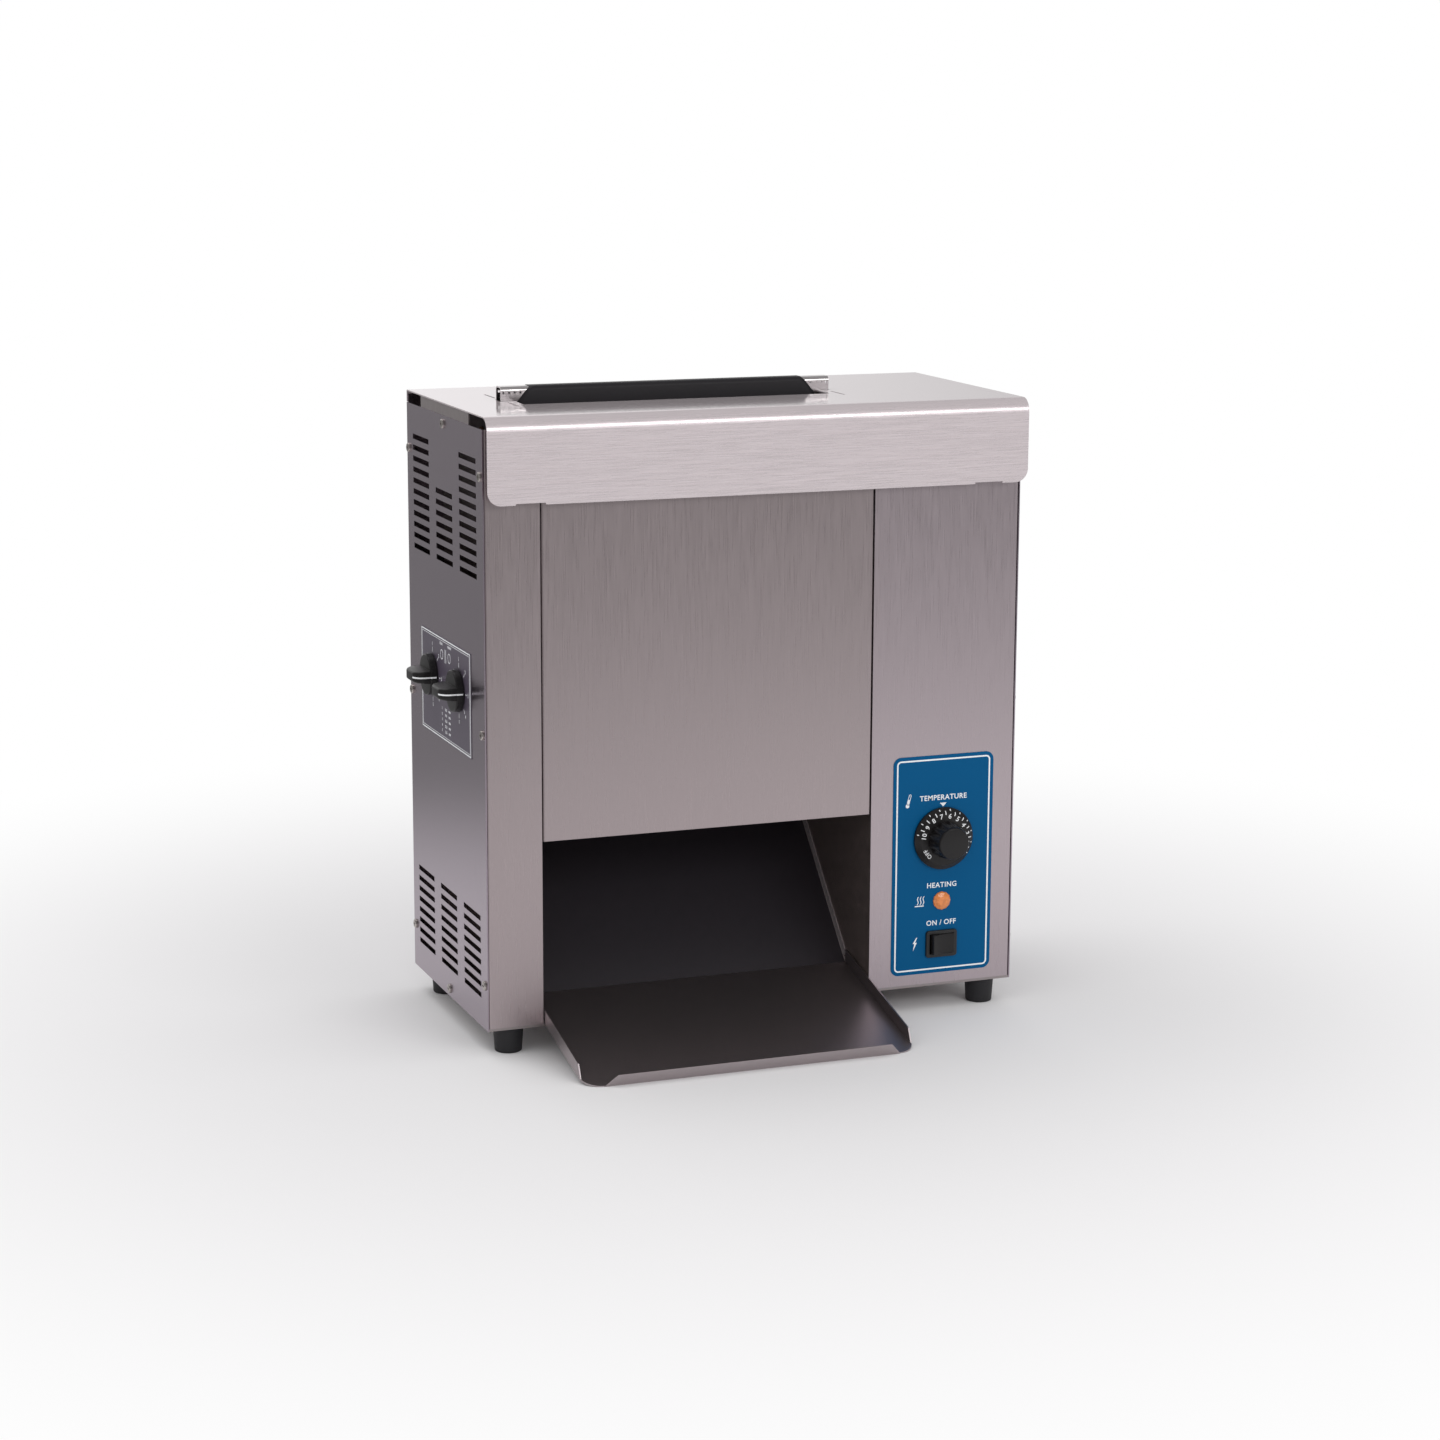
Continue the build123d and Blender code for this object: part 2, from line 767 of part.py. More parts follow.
def platen_brackets():
    """Angle brackets that carry the ends of the platen from the bulkheads."""
    brackets = []
    half = bracket_width / 2
    for end, wall, outward in ((platen_left, lane_left, -1), (platen_right, lane_right, 1)):
        for low in (platen_bottom + bracket_inset, platen_top - bracket_inset - bracket_height):
            high = low + bracket_height
            web = block(end, wall, mid_y - half, mid_y + half, low, low + bracket_thickness)
            pad_end = end + outward * bracket_thickness
            foot_end = wall - outward * bracket_thickness
            pad = block(end, pad_end, mid_y - half, mid_y + half, low, high)
            foot = block(wall, foot_end, mid_y - half, mid_y + half, low, high)
            brackets.append(fused([pad, web, foot]))
    return Compound(brackets)


def platen_cap():
    """Stainless divider on the platen's top edge, standing up through the feed slot."""
    half = cap_thickness / 2
    points = [(mid_y - half, platen_top), (mid_y - half, cap_top), (mid_y + half, cap_top)]
    points.append((mid_y + half, platen_top))
    cap = bent_sheet(Plane.YZ.offset(lane_left), points, cap_bend, Side.RIGHT, lane_width)
    cuts = []
    for start, step in ((lane_left, cap_hole_pitch), (lane_right, -cap_hole_pitch)):
        for index in range(cap_hole_count):
            x = start + step * (index + 0.5)
            z = cap_top - cap_hole_drop
            cuts.append(rod_y(x, mid_y - half - overrun, mid_y + half + overrun, z, cap_hole_radius))
    return cap.cut(*cuts)


def release_sheet():
    """Release sheet, draped over the divider and down both faces of the platen."""
    thickness = release_sheet_thickness
    inner = sheet_section(platen_thickness / 2, cap_thickness / 2, cap_top, cap_bend)
    outer = sheet_section(platen_thickness / 2 + thickness, cap_thickness / 2 + thickness,
                          cap_top + thickness, cap_bend + thickness)
    left = lane_mid - release_sheet_length / 2
    drape = extrude(Plane.YZ.offset(left) * (outer - inner), amount=release_sheet_length)
    corner = release_sheet_corner
    top = cap_top + thickness
    half = platen_thickness
    for x, turn in ((left, 1), (left + release_sheet_length, -1)):
        points = [(x - turn * overrun, top - corner - overrun), (x, top - corner), (x + turn * corner, top)]
        points += [(x + turn * corner, top + overrun), (x - turn * overrun, top + overrun)]
        drape -= prism(front_plane(mid_y + half), points, 2 * half)
    return drape


def sheet_section(half_platen, half_cap, top, corner):
    """Area under the draped sheet: over the divider, out over the platen's edge and down."""
    shoulder = platen_top + (platen_thickness - cap_thickness)
    points = [(mid_y - half_platen, platen_bottom), (mid_y - half_platen, platen_top)]
    points += [(mid_y - half_cap, shoulder), (mid_y - half_cap, top)]
    points += [(mid_y + half_cap, top), (mid_y + half_cap, shoulder)]
    points += [(mid_y + half_platen, platen_top), (mid_y + half_platen, platen_bottom)]
    area = make_face(Polyline(*points, close=True))
    return fillet(area.vertices().group_by(Axis.Y)[-1], radius=corner)


def strand_places(count):
    """X places spread over the belt, with half a step left at each end."""
    step = (belt_right - belt_left) / count
    return [belt_left + step * (index + 0.5) for index in range(count)]


def sprocket_places():
    """X places of the sprockets and rollers, midway between the belt's strands."""
    strands = strand_places(belt_strand_count)
    return [(a + b) / 2 for a, b in zip(strands, strands[1:])]


def belt_rod_places(y):
    """Places (y, z) of the cross rods round both shafts and along both runs."""
    places = []
    for index in range(belt_straight_pitches + 1):
        z = drive_shaft_height + index * belt_pitch
        places.append((y - belt_turn_radius, z))
        places.append((y + belt_turn_radius, z))
    half_turn = belt_teeth // 2
    for index in range(1, half_turn):
        angle = math.pi * index / half_turn
        across = belt_turn_radius * math.cos(angle)
        along = belt_turn_radius * math.sin(angle)
        places.append((y + across, idler_shaft_height + along))
        places.append((y + across, drive_shaft_height - along))
    return places


def belt(sign):
    """Wire belt: cross rods joined by endless strands."""
    y = mid_y + sign * drive_offset
    rods = [rod_x(belt_left, belt_right, *place, belt_rod_radius) for place in belt_rod_places(y)]
    middle = (drive_shaft_height + idler_shaft_height) / 2
    strands = []
    for x in strand_places(belt_strand_count):
        half = belt_strand_width / 2
        plane = Plane(origin=(x - half, y, middle), x_dir=(0, 0, 1), z_dir=(1, 0, 0))
        outer_radius = belt_turn_radius + belt_strand_thickness / 2
        inner_radius = belt_turn_radius - belt_strand_thickness / 2
        ring = SlotCenterToCenter(belt_straight, 2 * outer_radius)
        ring -= SlotCenterToCenter(belt_straight, 2 * inner_radius)
        strands.append(extrude(plane * ring, amount=belt_strand_width))
    return fused(strands + rods)


def toothed_wheel(pitch_radius, teeth, seat_radius, tip, flare, width):
    """Sprocket blank along X from x = 0: a disc with a flared seat for each rod or roller."""
    wheel = Rot(0, 90, 0) * Pos(0, 0, width / 2) * Cylinder(pitch_radius + tip, width)
    seats = []
    for index in range(teeth):
        y, z = polar(pitch_radius, 2 * math.pi * index / teeth)
        seats.append(rod_x(-overrun, width + overrun, y, z, seat_radius))
        rim = pitch_radius + tip
        wide = seat_radius + flare
        points = [(pitch_radius, -seat_radius), (rim, -wide), (rim + flare, -wide)]
        points += [(rim + flare, wide), (rim, wide), (pitch_radius, seat_radius)]
        wedge = prism(Plane.YZ.offset(-overrun), points, width + 2 * overrun)
        seats.append(Rot(360 * index / teeth, 0, 0) * wedge)
    return wheel.cut(*seats)


def drive_shaft(sign):
    """Lower shaft of one belt, long enough for what it carries in the right-hand bay."""
    right = gear_right + gear_hub_height
    if sign > 0:
        right = chain_outer
    left = lane_left - sheet - shaft_tail
    return rod_x(left, right, mid_y + sign * drive_offset, drive_shaft_height, shaft_radius)


def drive_sprockets(sign):
    """Sprockets on a drive shaft, their teeth between the belt's rods."""
    y = mid_y + sign * drive_offset
    seat = belt_rod_radius + sprocket_seat_gap
    width = sprocket_width
    wheel = toothed_wheel(belt_turn_radius, belt_teeth, seat, sprocket_tip, sprocket_flare, width)
    wheel -= rod_x(-overrun, width + overrun, 0, 0, shaft_radius)
    return Compound([Pos(x - width / 2, y, drive_shaft_height) * wheel for x in sprocket_places()])


def idler_shaft(sign):
    """Upper shaft of one belt."""
    left = lane_left - sheet - shaft_tail
    right = lane_right + sheet + shaft_tail
    return rod_x(left, right, mid_y + sign * drive_offset, idler_shaft_height, shaft_radius)


def idler_rollers(sign):
    """Plain rollers on an idler shaft, just inside the belt's rods."""
    y = mid_y + sign * drive_offset
    radius = belt_turn_radius - belt_rod_radius - roller_gap
    rollers = []
    for x in sprocket_places():
        half = sprocket_width / 2
        roller = rod_x(x - half, x + half, y, idler_shaft_height, radius)
        rollers.append(roller - rod_x(x - half, x + half, y, idler_shaft_height, shaft_radius))
    return Compound(rollers)


def shaft_bushings():
    """Flanged bushing for every shaft in both bulkheads."""
    bushings = []
    for y, z, radius in shaft_places():
        bore = radius + running_gap
        for inner, outward in ((lane_left, -1), (lane_right, 1)):
            outer = inner + outward * sheet
            sleeve = rod_x(inner - outward * bushing_nose, outer, y, z, bore + bushing_wall)
            rim = bore + bushing_wall + bushing_flange_wall
            collar = rod_x(outer, outer + outward * bushing_flange_height, y, z, rim)
            bushing = fused([sleeve, collar])
            bushings.append(bushing - rod_x(inner - overrun, inner + overrun, y, z, bore))
    return Compound(bushings)


def pressure_plate(sign):
    """Plate behind a belt's inner run, with two slotted ears at each end that ride on the rods."""
    near = mid_y + sign * plate_offset
    far = near + sign * plate_thickness
    back = near + sign * ear_reach
    left = belt_left + plate_side_margin
    right = belt_right - plate_side_margin
    low = drive_shaft_height + belt_turn_radius + plate_margin
    high = idler_shaft_height - belt_turn_radius - plate_margin
    pieces = [block(left, right, near, far, low, high)]
    cuts = []
    axis_y = mid_y + sign * cam_offset
    slide = plate_travel / 2 + free_gap
    for z, radius in ((cam_height, cam_shaft_radius), (tie_rod_height, tie_rod_radius)):
        half = ear_height / 2
        pieces.append(block(left, left + plate_thickness, near, back, z - half, z + half))
        pieces.append(block(right - plate_thickness, right, near, back, z - half, z + half))
        slot_radius = radius + free_gap
        for x in (left, right):
            cuts.append(rod_x(x - overrun, x + overrun, axis_y - slide, z, slot_radius))
            cuts.append(rod_x(x - overrun, x + overrun, axis_y + slide, z, slot_radius))
            near_end = axis_y - slide
            far_end = axis_y + slide
            cuts.append(block(x - overrun, x + overrun, near_end, far_end, z - slot_radius, z + slot_radius))
    return fused(pieces).cut(*cuts)


def cam_outline():
    """Snail cam in the YZ plane that pushes towards +Y: its reach grows evenly as the normal turns."""
    reach = math.radians(cam_turn) / 2
    points = []
    for index in range(cam_steps + 1):
        angle = reach - 2 * reach * index / cam_steps
        lift = cam_rest_lift + cam_rate * angle
        y = lift * math.cos(angle) - cam_rate * math.sin(angle)
        z = lift * math.sin(angle) + cam_rate * math.cos(angle)
        points.append((y, z))
    return points


def camshaft(sign):
    """Camshaft inside one belt, with two snail cams, out to its knob on the left."""
    y = mid_y + sign * cam_offset
    left = case_left - label_thickness - knob_gap - knob_skirt_height - knob_grip_reach + knob_wall
    right = lane_right + sheet + bushing_flange_height + shaft_hole_gap
    pieces = [rod_x(left, right, y, cam_height, cam_shaft_radius)]
    points = cam_outline()
    edge = Spline(*points)
    lobe = make_face(edge + Line(points[-1], points[0]))
    turn = Rot(180, 0, 0) if sign > 0 else Rot(0, 0, 0)
    for x in (belt_left + cam_side_inset, belt_right - cam_side_inset):
        cam = extrude(Plane.YZ * lobe, amount=cam_width, dir=(1, 0, 0))
        pieces.append(Pos(x - cam_width / 2, y, cam_height) * turn * cam)
    return fused(pieces)


def tie_rods():
    """Rods between the bulkheads, one inside each belt."""
    return Compound([rod_x(lane_left, lane_right, mid_y + sign * cam_offset, tie_rod_height, tie_rod_radius)
                     for sign in both_lanes().values()])


def pressure_knob(sign):
    """Pointer knob on a camshaft: a round skirt and a bar grip that lies along Y at rest."""
    y = mid_y + sign * cam_offset
    root = case_left - label_thickness - knob_gap
    face = root - knob_skirt_height
    end = face - knob_grip_reach
    skirt = rod_x(root, face, y, cam_height, knob_skirt_radius)
    half = knob_grip_length / 2
    thick = knob_grip_thickness / 2
    grip = block(end, face, y - half, y + half, cam_height - thick, cam_height + thick)
    outer_corners = grip.edges().filter_by(Axis.Z).group_by(Axis.X)[0]
    grip = fillet(outer_corners, radius=half * knob_end_round_share)
    grip = fillet(grip.edges().filter_by(Axis.X), radius=knob_grip_round)
    knob = fused([skirt, grip])
    bore_end = end + knob_wall
    return knob - rod_x(bore_end, root + overrun, y, cam_height, cam_shaft_radius)


def gear_flank(radius):
    """Half angle of a tooth at a radius, for an involute tooth of the gear pair."""
    angle = math.radians(pressure_angle)
    base = drive_offset * math.cos(angle)
    thickness = math.pi * drive_offset / gear_teeth - gear_backlash
    here = math.acos(min(base / radius, 1))
    return thickness / (2 * drive_offset) + math.tan(angle) - angle - math.tan(here) + here


def polar(radius, angle):
    """Point at a radius and an angle."""
    return (radius * math.cos(angle), radius * math.sin(angle))


def drive_gear(sign):
    """Spur gear on the right-hand end of a drive shaft. Its mate is half a tooth on."""
    module = 2 * drive_offset / gear_teeth
    base = drive_offset * math.cos(math.radians(pressure_angle))
    tip = drive_offset + module
    root = drive_offset - gear_root_share * module
    middle = (base + tip) / 2
    step = 2 * math.pi / gear_teeth
    phase = 0 if sign < 0 else math.pi + step / 2
    lines = []
    for index in range(gear_teeth):
        at = phase + index * step
        low = polar(root, at - gear_flank(base))
        foot = polar(base, at - gear_flank(base))
        head = polar(tip, at - gear_flank(tip))
        head_end = polar(tip, at + gear_flank(tip))
        foot_end = polar(base, at + gear_flank(base))
        low_end = polar(root, at + gear_flank(base))
        next_low = polar(root, at + step - gear_flank(base))
        lines.append(Line(low, foot))
        lines.append(ThreePointArc(foot, polar(middle, at - gear_flank(middle)), head))
        lines.append(ThreePointArc(head, polar(tip, at), head_end))
        lines.append(ThreePointArc(head_end, polar(middle, at + gear_flank(middle)), foot_end))
        lines.append(Line(foot_end, low_end))
        lines.append(ThreePointArc(low_end, polar(root, at + step / 2), next_low))
    blank = extrude(Plane.YZ * make_face(Curve() + lines), amount=gear_width, dir=(1, 0, 0))
    y = mid_y + sign * drive_offset
    gear = Pos(gear_left, y, drive_shaft_height) * blank
    hub = rod_x(gear_right, gear_right + gear_hub_height, y, drive_shaft_height, gear_hub_radius)
    bore = rod_x(gear_left - overrun, gear_right + overrun, y, drive_shaft_height, shaft_radius)
    return fused([gear, hub]) - bore


def chain_sprocket(z):
    """Roller chain sprocket with a boss, at the height of its shaft."""
    seat = chain_roller_radius + chain_seat_gap
    width = chain_sprocket_width
    teeth = chain_sprocket_teeth
    wheel = toothed_wheel(chain_radius, teeth, seat, chain_sprocket_tip, chain_sprocket_flare, width)
    boss = rod_x(width, width + chain_sprocket_boss, 0, 0, shaft_radius + bushing_wall)
    wheel = fused([wheel, boss])
    wheel -= rod_x(-overrun, width + chain_sprocket_boss + overrun, 0, 0, shaft_radius)
    return Pos(chain_mid_x - width / 2, motor_y, z) * wheel


def chain_pin_places():
    """Places (y, z) of the chain's pins, in order round both sprockets."""
    half_turn = chain_sprocket_teeth // 2
    places = []
    for index in range(chain_straight_pitches):
        places.append((motor_y + chain_radius, drive_shaft_height + index * chain_pitch))
    for index in range(half_turn):
        angle = math.pi * index / half_turn
        y, z = polar(chain_radius, angle)
        places.append((motor_y + y, motor_height + z))
    for index in range(chain_straight_pitches):
        places.append((motor_y - chain_radius, motor_height - index * chain_pitch))
    for index in range(half_turn):
        angle = math.pi + math.pi * index / half_turn
        y, z = polar(chain_radius, angle)
        places.append((motor_y + y, drive_shaft_height + z))
    return places


def drive_chain():
    """Roller chain: rollers on pins, joined by inner and outer side plates in turn."""
    places = chain_pin_places()
    inner = chain_inner_width / 2
    pieces = []
    for index, (y, z) in enumerate(places):
        next_y, next_z = places[(index + 1) % len(places)]
        pieces.append(rod_x(chain_mid_x - inner, chain_mid_x + inner, y, z, chain_roller_radius))
        pin_half = inner + 2 * chain_plate_thickness
        pieces.append(rod_x(chain_mid_x - pin_half, chain_mid_x + pin_half, y, z, chain_pin_radius))
        angle = math.degrees(math.atan2(next_z - z, next_y - y))
        link = Rot(0, 0, angle) * SlotCenterToCenter(chain_pitch, chain_plate_height)
        near = inner + (index % 2) * chain_plate_thickness
        middle_y = (y + next_y) / 2
        middle_z = (z + next_z) / 2
        for start in (chain_mid_x + near, chain_mid_x - near - chain_plate_thickness):
            plane = Plane(origin=(start, middle_y, middle_z), x_dir=(0, 1, 0), z_dir=(1, 0, 0))
            pieces.append(extrude(plane * link, amount=chain_plate_thickness))
    return fused(pieces)


def motor_bracket():
    """Hat-shaped bracket on the right bulkhead that holds the gearmotor clear of the chain."""
    wall = lane_right + sheet
    face = bracket_face + bracket_plate
    low = motor_height - bracket_rise / 2
    high = motor_height + bracket_rise / 2
    front = motor_y - bracket_span / 2
    rear = motor_y + bracket_span / 2
    pieces = [block(bracket_face, face, front, rear, low, high)]
    for y, outward in ((front, -1), (rear, 1)):
        inside = y - outward * bracket_plate
        foot_end = y - outward * bracket_foot
        pieces.append(block(wall, face, y, inside, low, high))
        pieces.append(block(wall, wall + bracket_plate, y, foot_end, low, high))
    hole = shaft_radius + shaft_hole_gap
    return fused(pieces) - rod_x(bracket_face - overrun, face + overrun, motor_y, motor_height, hole)


def gearmotor():
    """Gearbox and motor, bored for the output shaft."""
    half = gearbox_size / 2
    low = motor_height - half
    high = motor_height + half
    box = block(gearbox_left, gearbox_right, motor_y - half, motor_y + half, low, high)
    box = fillet(box.edges().filter_by(Axis.X), radius=gearbox_round)
    can_end = gearbox_right + motor_length
    can = rod_x(gearbox_right, can_end, motor_y, motor_height, motor_radius)
    cap = rod_x(can_end, can_end + motor_cap_length, motor_y, motor_height, motor_cap_radius)
    motor = fused([box, can, cap])
    bore = rod_x(gearbox_left - overrun, gearbox_right, motor_y, motor_height, shaft_radius + running_gap)
    return motor - bore


def motor_shaft():
    """Output shaft of the gearmotor."""
    start = chain_mid_x - chain_sprocket_width / 2
    return rod_x(start, gearbox_right - running_gap, motor_y, motor_height, shaft_radius)


def chute_points(reach):
    """Point (y, z) of the chute's upper surface, a distance up from its foot."""
    angle = math.radians(chute_angle)
    return (chute_foot_y + reach * math.cos(angle), chute_foot_z + reach * math.sin(angle))


def bun_chute():
    """Coated chute under both lanes, its top edge turned up and its sides turned up along the walls."""
    top = chute_points(chute_length)
    points = [(chute_foot_y, chute_foot_z), top, (top[0], top[1] + chute_lip)]
    ramp = bent_sheet(Plane.YZ.offset(lane_left), points, sheet_bend, Side.RIGHT, lane_width)
    angle = math.radians(chute_angle)
    rise_y = -chute_flange * math.sin(angle)
    rise_z = chute_flange * math.cos(angle)
    under_y = sheet * math.sin(angle)
    under_z = -sheet * math.cos(angle)
    low = chute_points(chute_flange)
    high = chute_points(chute_length - chute_flange)
    outline = [(low[0] + under_y, low[1] + under_z), (high[0] + under_y, high[1] + under_z)]
    outline += [(high[0] + rise_y, high[1] + rise_z), (low[0] + rise_y, low[1] + rise_z)]
    pieces = [ramp]
    for x in (lane_left, lane_right - sheet):
        pieces.append(prism(Plane.YZ.offset(x), outline, sheet))
    return fused(pieces)


def tray_line(y):
    """Height of the tray's upper surface at a place along Y."""
    return -tray_front_drop + (y + tray_reach) * tray_slope


def bun_tray():
    """Sloping tray in front of the chute, with side flanges and a low front flange that leans out."""
    rear = tray_rear
    front = -tray_reach
    low = tray_line(front)
    floor_points = [(front, low), (rear, tray_line(rear)), (rear, tray_line(rear) - tray_depth_shift)]
    floor_points.append((front, low - tray_depth_shift))
    width = tray_right - tray_left
    slab = prism(Plane.YZ.offset(tray_left), floor_points, width)
    outline = block(tray_left, tray_right, front, rear, low - overrun, tray_line(rear) + overrun)
    corners = outline.edges().filter_by(Axis.Z).group_by(Axis.Y)[0]
    floor = slab & fillet(corners, radius=tray_corner)
    nose = front + tray_nose
    side_points = [(nose, tray_line(nose) - tray_depth_shift), (nose, tray_line(nose))]
    side_points += [(nose + tray_flange / 2, tray_line(nose) + tray_flange)]
    side_points += [(rear, tray_line(rear) + tray_flange), (rear, tray_line(rear) - tray_depth_shift)]
    pieces = [floor]
    for x in (tray_left, tray_right - sheet):
        pieces.append(prism(Plane.YZ.offset(x), side_points, sheet))
    lip_foot = low - tray_depth_shift
    lip_points = [(front, lip_foot), (front - tray_lip_lean, lip_foot + tray_lip_rise + tray_depth_shift)]
    lip_points += [(front - tray_lip_lean + sheet, lip_foot + tray_lip_rise + tray_depth_shift)]
    lip_points += [(front + sheet, low), (front + sheet, lip_foot)]
    lip_length = width - 2 * tray_lip_inset
    lip = prism(Plane.YZ.offset(tray_left + tray_lip_inset), lip_points, lip_length)
    pieces.append(lip - lip_end_cuts(lip_foot))
    return fused(pieces)


def lip_end_cuts(foot):
    """Wedges that slope the ends of the tray's front flange."""
    cuts = []
    top = foot + tray_lip_rise + tray_depth_shift
    for x, turn in ((tray_left + tray_lip_inset, 1), (tray_right - tray_lip_inset, -1)):
        points = [(x, foot), (x + turn * tray_lip_slope, top), (x + turn * tray_lip_slope, top + overrun)]
        points += [(x - turn * overrun, top + overrun), (x - turn * overrun, foot)]
        depth = tray_lip_lean + 2 * overrun
        cuts.append(prism(front_plane(-tray_reach + sheet + overrun), points, depth))
    return fused(cuts)


def tray_rest(inner, outward):
    """Tab of a bulkhead under the rear edge of the tray."""
    rear = tray_rear
    front = rear - tray_rest_width
    top = tray_line(front) - tray_depth_shift
    rear_top = tray_line(rear) - tray_depth_shift
    points = [(front, sheet), (front, top), (rear, rear_top), (rear, sheet)]
    start = inner if outward < 0 else inner - tray_rest_reach
    return prism(Plane.YZ.offset(start), points, tray_rest_reach)


def thermostat_body():
    """Thermostat switch block behind the control column, bored for its stem."""
    half = thermostat_size / 2
    body = block(control_x - half, control_x + half, sheet, sheet + thermostat_depth,
                 dial_height - half, dial_height + half)
    body = fillet(body.edges().filter_by(Axis.Y), radius=thermostat_round)
    return body - rod_y(control_x, -overrun, thermostat_depth, dial_height, stem_radius + running_gap)


def stem_front():
    """Front end of the thermostat stem, inside the dial's grip."""
    return label_front - knob_gap - dial_skirt_depth - dial_grip_depth / 2


def thermostat_stem():
    """Stem that the dial turns."""
    return rod_y(control_x, stem_front(), stem_front() + stem_length, dial_height, stem_radius)


def thermostat_dial():
    """Dial: a tapered skirt for the numbers and a fluted grip."""
    back = label_front - knob_gap
    face = back - dial_skirt_depth
    rim = rod_y(control_x, back - dial_rim, back, dial_height, dial_radius)
    taper_depth = dial_skirt_depth - dial_rim
    taper = Cone(dial_radius, dial_face_radius, taper_depth)
    taper = Pos(control_x, back - dial_rim - taper_depth / 2, dial_height) * Rot(90, 0, 0) * taper
    end = face - dial_grip_depth
    grip = rod_y(control_x, end, face, dial_height, dial_grip_radius)
    grip = fillet(grip.edges().group_by(Axis.Y)[0], radius=dial_flute_radius / 2)
    flutes = []
    for index in range(dial_flutes):
        x, z = polar(dial_grip_radius * dial_flute_share, 2 * math.pi * index / dial_flutes)
        flutes.append(rod_y(control_x + x, end - overrun, face, dial_height + z, dial_flute_radius))
    grip = grip.cut(*flutes)
    dial = fused([rim, taper, grip])
    return dial - rod_y(control_x, stem_front(), back + overrun, dial_height, stem_radius)


def indicator_lens():
    """Faceted lens of the heating lamp."""
    back = label_front
    base = rod_y(control_x, back - lamp_rim, back, lamp_height, lamp_radius)
    plane = Plane(origin=(control_x, back - lamp_rim, lamp_height), x_dir=(1, 0, 0), z_dir=(0, -1, 0))
    crown_radius = lamp_radius * lamp_facet_share
    low = plane * RegularPolygon(lamp_radius, lamp_facets)
    high = plane.offset(lamp_depth - lamp_rim) * RegularPolygon(crown_radius, lamp_facets)
    crown = loft([low.face(), high.face()])
    return fused([base, crown])


def indicator_lamp_body():
    """Barrel of the heating lamp, through the label and the column, with a nut behind."""
    barrel = rod_y(control_x, label_front, lamp_body_length, lamp_height, lamp_body_radius)
    plane = Plane(origin=(control_x, sheet, lamp_height), x_dir=(1, 0, 0), z_dir=(0, 1, 0))
    nut = extrude(plane * RegularPolygon(lamp_radius, 6), amount=lamp_nut_height)
    return fused([barrel, nut])


def switch_frame(width, height, y0, y1):
    """Block about the switch's middle."""
    left = control_x - width / 2
    low = switch_height - height / 2
    return block(left, left + width, y0, y1, low, low + height)


def switch_body():
    """Rocker switch housing: a bezel on the label and a body through the column."""
    bezel_plane = Plane(origin=(control_x, label_front, switch_height), x_dir=(1, 0, 0), z_dir=(0, -1, 0))
    bezel = rounded_plate(bezel_plane, bezel_width, bezel_height, bezel_corner, bezel_depth)
    bezel = fillet(bezel.edges().group_by(Axis.Y)[0], radius=bezel_round)
    body = switch_frame(switch_body_width, switch_body_height, label_front, switch_body_depth)
    housing = fused([bezel, body])
    opening = rocker_width + 2 * rocker_gap
    height = rocker_height + 2 * free_gap
    housing -= switch_frame(opening, height, label_front - bezel_depth - overrun, switch_cavity_depth)
    reach = rocker_height / 2 + rocker_pin_length + free_gap
    pin = rocker_pin_radius + running_gap
    return housing - rod_z(control_x, rocker_pivot, switch_height - reach, switch_height + reach, pin)


def switch_rocker():
    """Rocker that tips about an upright pin, resting with its right-hand side pressed."""
    half = rocker_width / 2
    front = label_front - bezel_depth - rocker_stand
    valley = front + rocker_valley
    root = rocker_root_width / 2
    points = [(-half, front), (0, valley), (half, front), (root, rocker_root), (-root, rocker_root)]
    plane = Plane(origin=(0, 0, -rocker_height / 2), x_dir=(1, 0, 0), z_dir=(0, 0, 1))
    body = prism(plane, points, rocker_height)
    reach = rocker_height / 2 + rocker_pin_length
    rocker = fused([body, rod_z(0, rocker_pivot, -reach, reach, rocker_pin_radius)])
    tip = Pos(0, rocker_pivot, 0) * Rot(0, 0, rocker_tilt) * Pos(0, -rocker_pivot, 0)
    return Pos(control_x, 0, switch_height) * tip * rocker


def terminal_block():
    """Mains terminal block on the base pan, with a barrier and a screw for each way."""
    left = terminal_x - terminal_length / 2
    front = terminal_y - terminal_depth / 2
    rear = terminal_y + terminal_depth / 2
    top = sheet + terminal_height
    deck = top - terminal_screw_height - terminal_wall
    pieces = [block(left, left + terminal_length, front, rear, sheet, deck)]
    step = (terminal_length - terminal_wall) / terminal_ways
    for index in range(terminal_ways + 1):
        x = left + index * step
        pieces.append(block(x, x + terminal_wall, front, rear, sheet, top))
    for index in range(terminal_ways):
        x = left + terminal_wall / 2 + (index + 0.5) * step
        pieces.append(rod_z(x, terminal_y, sheet, deck + terminal_screw_height, terminal_screw_radius))
    return fused(pieces)


